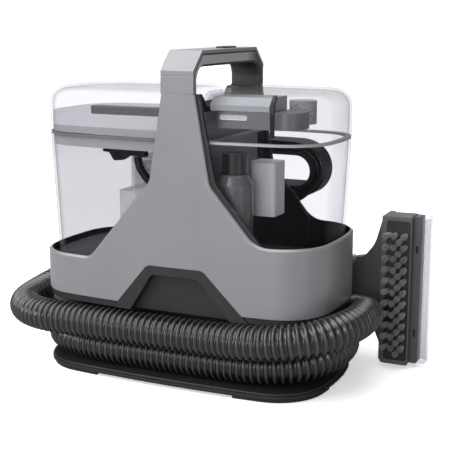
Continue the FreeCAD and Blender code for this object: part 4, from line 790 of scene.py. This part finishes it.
# each soft lamp's place, width, height and watts; all face the middle of the machine
LAMP_AIM = (-0.02, 0.0, 0.15)
LAMPS = {
    "key": ((-0.9, -1.2, 0.9), 1.0, 1.2, 13),
    "fill": ((0.15, -1.7, 0.40), 0.9, 0.5, 8),
    "right_strip": ((1.1, -0.55, 0.45), 0.12, 1.0, 1.5),
    "back": ((-0.70, 1.45, 0.66), 1.6, 0.6, 1.6),
}


def make_stage():
    """A pale floor, which throws little light back up so that dark plastic stays dark."""
    mesh = bpy.data.meshes.new("floor")
    corners = [(x * FLOOR_REACH, y * FLOOR_REACH, FLOOR_Z)
               for x, y in ((-1, -1), (1, -1), (1, 1), (-1, 1))]
    mesh.from_pydata(corners, [], [(0, 1, 2, 3)])
    floor = put(bpy.data.objects.new("floor", mesh))
    nodes = Nodes("floor")
    seen = nodes.add("ShaderNodeBsdfPrincipled")
    seen.inputs["Base Color"].default_value = rgba(FLOOR_COLOUR)
    seen.inputs["Roughness"].default_value = FLOOR_ROUGHNESS
    seen.inputs["Emission Color"].default_value = rgba(1.0)
    seen.inputs["Emission Strength"].default_value = FLOOR_GLOW
    bounce = nodes.add("ShaderNodeBsdfDiffuse")
    bounce.inputs["Color"].default_value = rgba(FLOOR_BOUNCE)
    mesh.materials.append(nodes.surface(nodes.mix(nodes.ray("Is Camera Ray"), bounce, seen)))


def area_light(name, place, width, height, power):
    """A soft rectangular lamp that faces the machine."""
    data = bpy.data.lights.new(name, "AREA")
    data.shape = "RECTANGLE"
    data.size, data.size_y = width, height
    data.energy = power
    lamp = put(bpy.data.objects.new(name, data))
    lamp.location = place
    lamp.visible_camera = False
    lamp.rotation_euler = (Vector(LAMP_AIM) - Vector(place)).to_track_quat("-Z", "Y").to_euler()


def make_world():
    """A pale room as the background, which is much dimmer as a source of light."""
    world = bpy.data.worlds.new("room")
    bpy.context.scene.world = world
    world.use_nodes = True
    tree = world.node_tree
    tree.nodes.clear()
    output = tree.nodes.new("ShaderNodeOutputWorld")
    mix = tree.nodes.new("ShaderNodeMixShader")
    rays = tree.nodes.new("ShaderNodeLightPath")
    tree.links.new(rays.outputs["Is Camera Ray"], mix.inputs["Fac"])
    for index, strength in ((1, ROOM_LIGHT), (2, ROOM_SEEN)):
        background = tree.nodes.new("ShaderNodeBackground")
        background.inputs["Color"].default_value = rgba(1.0)
        background.inputs["Strength"].default_value = strength
        tree.links.new(background.outputs[0], mix.inputs[index])
    tree.links.new(mix.outputs[0], output.inputs["Surface"])


def make_light():
    """Plain soft studio light: a wide overhead sun, a key from the front left and weaker lamps."""
    make_world()
    sun = put(bpy.data.objects.new("overhead", bpy.data.lights.new("overhead", "SUN")))
    sun.data.energy = SUN_STRENGTH
    sun.data.angle = math.radians(SUN_ANGLE)
    sun.rotation_euler = (*(math.radians(tilt) for tilt in SUN_TILT), 0)
    for name, (place, width, height, power) in LAMPS.items():
        area_light(name, place, width, height, power)


make_stage()
make_light()
bpy.context.scene.view_settings.view_transform = "Standard"
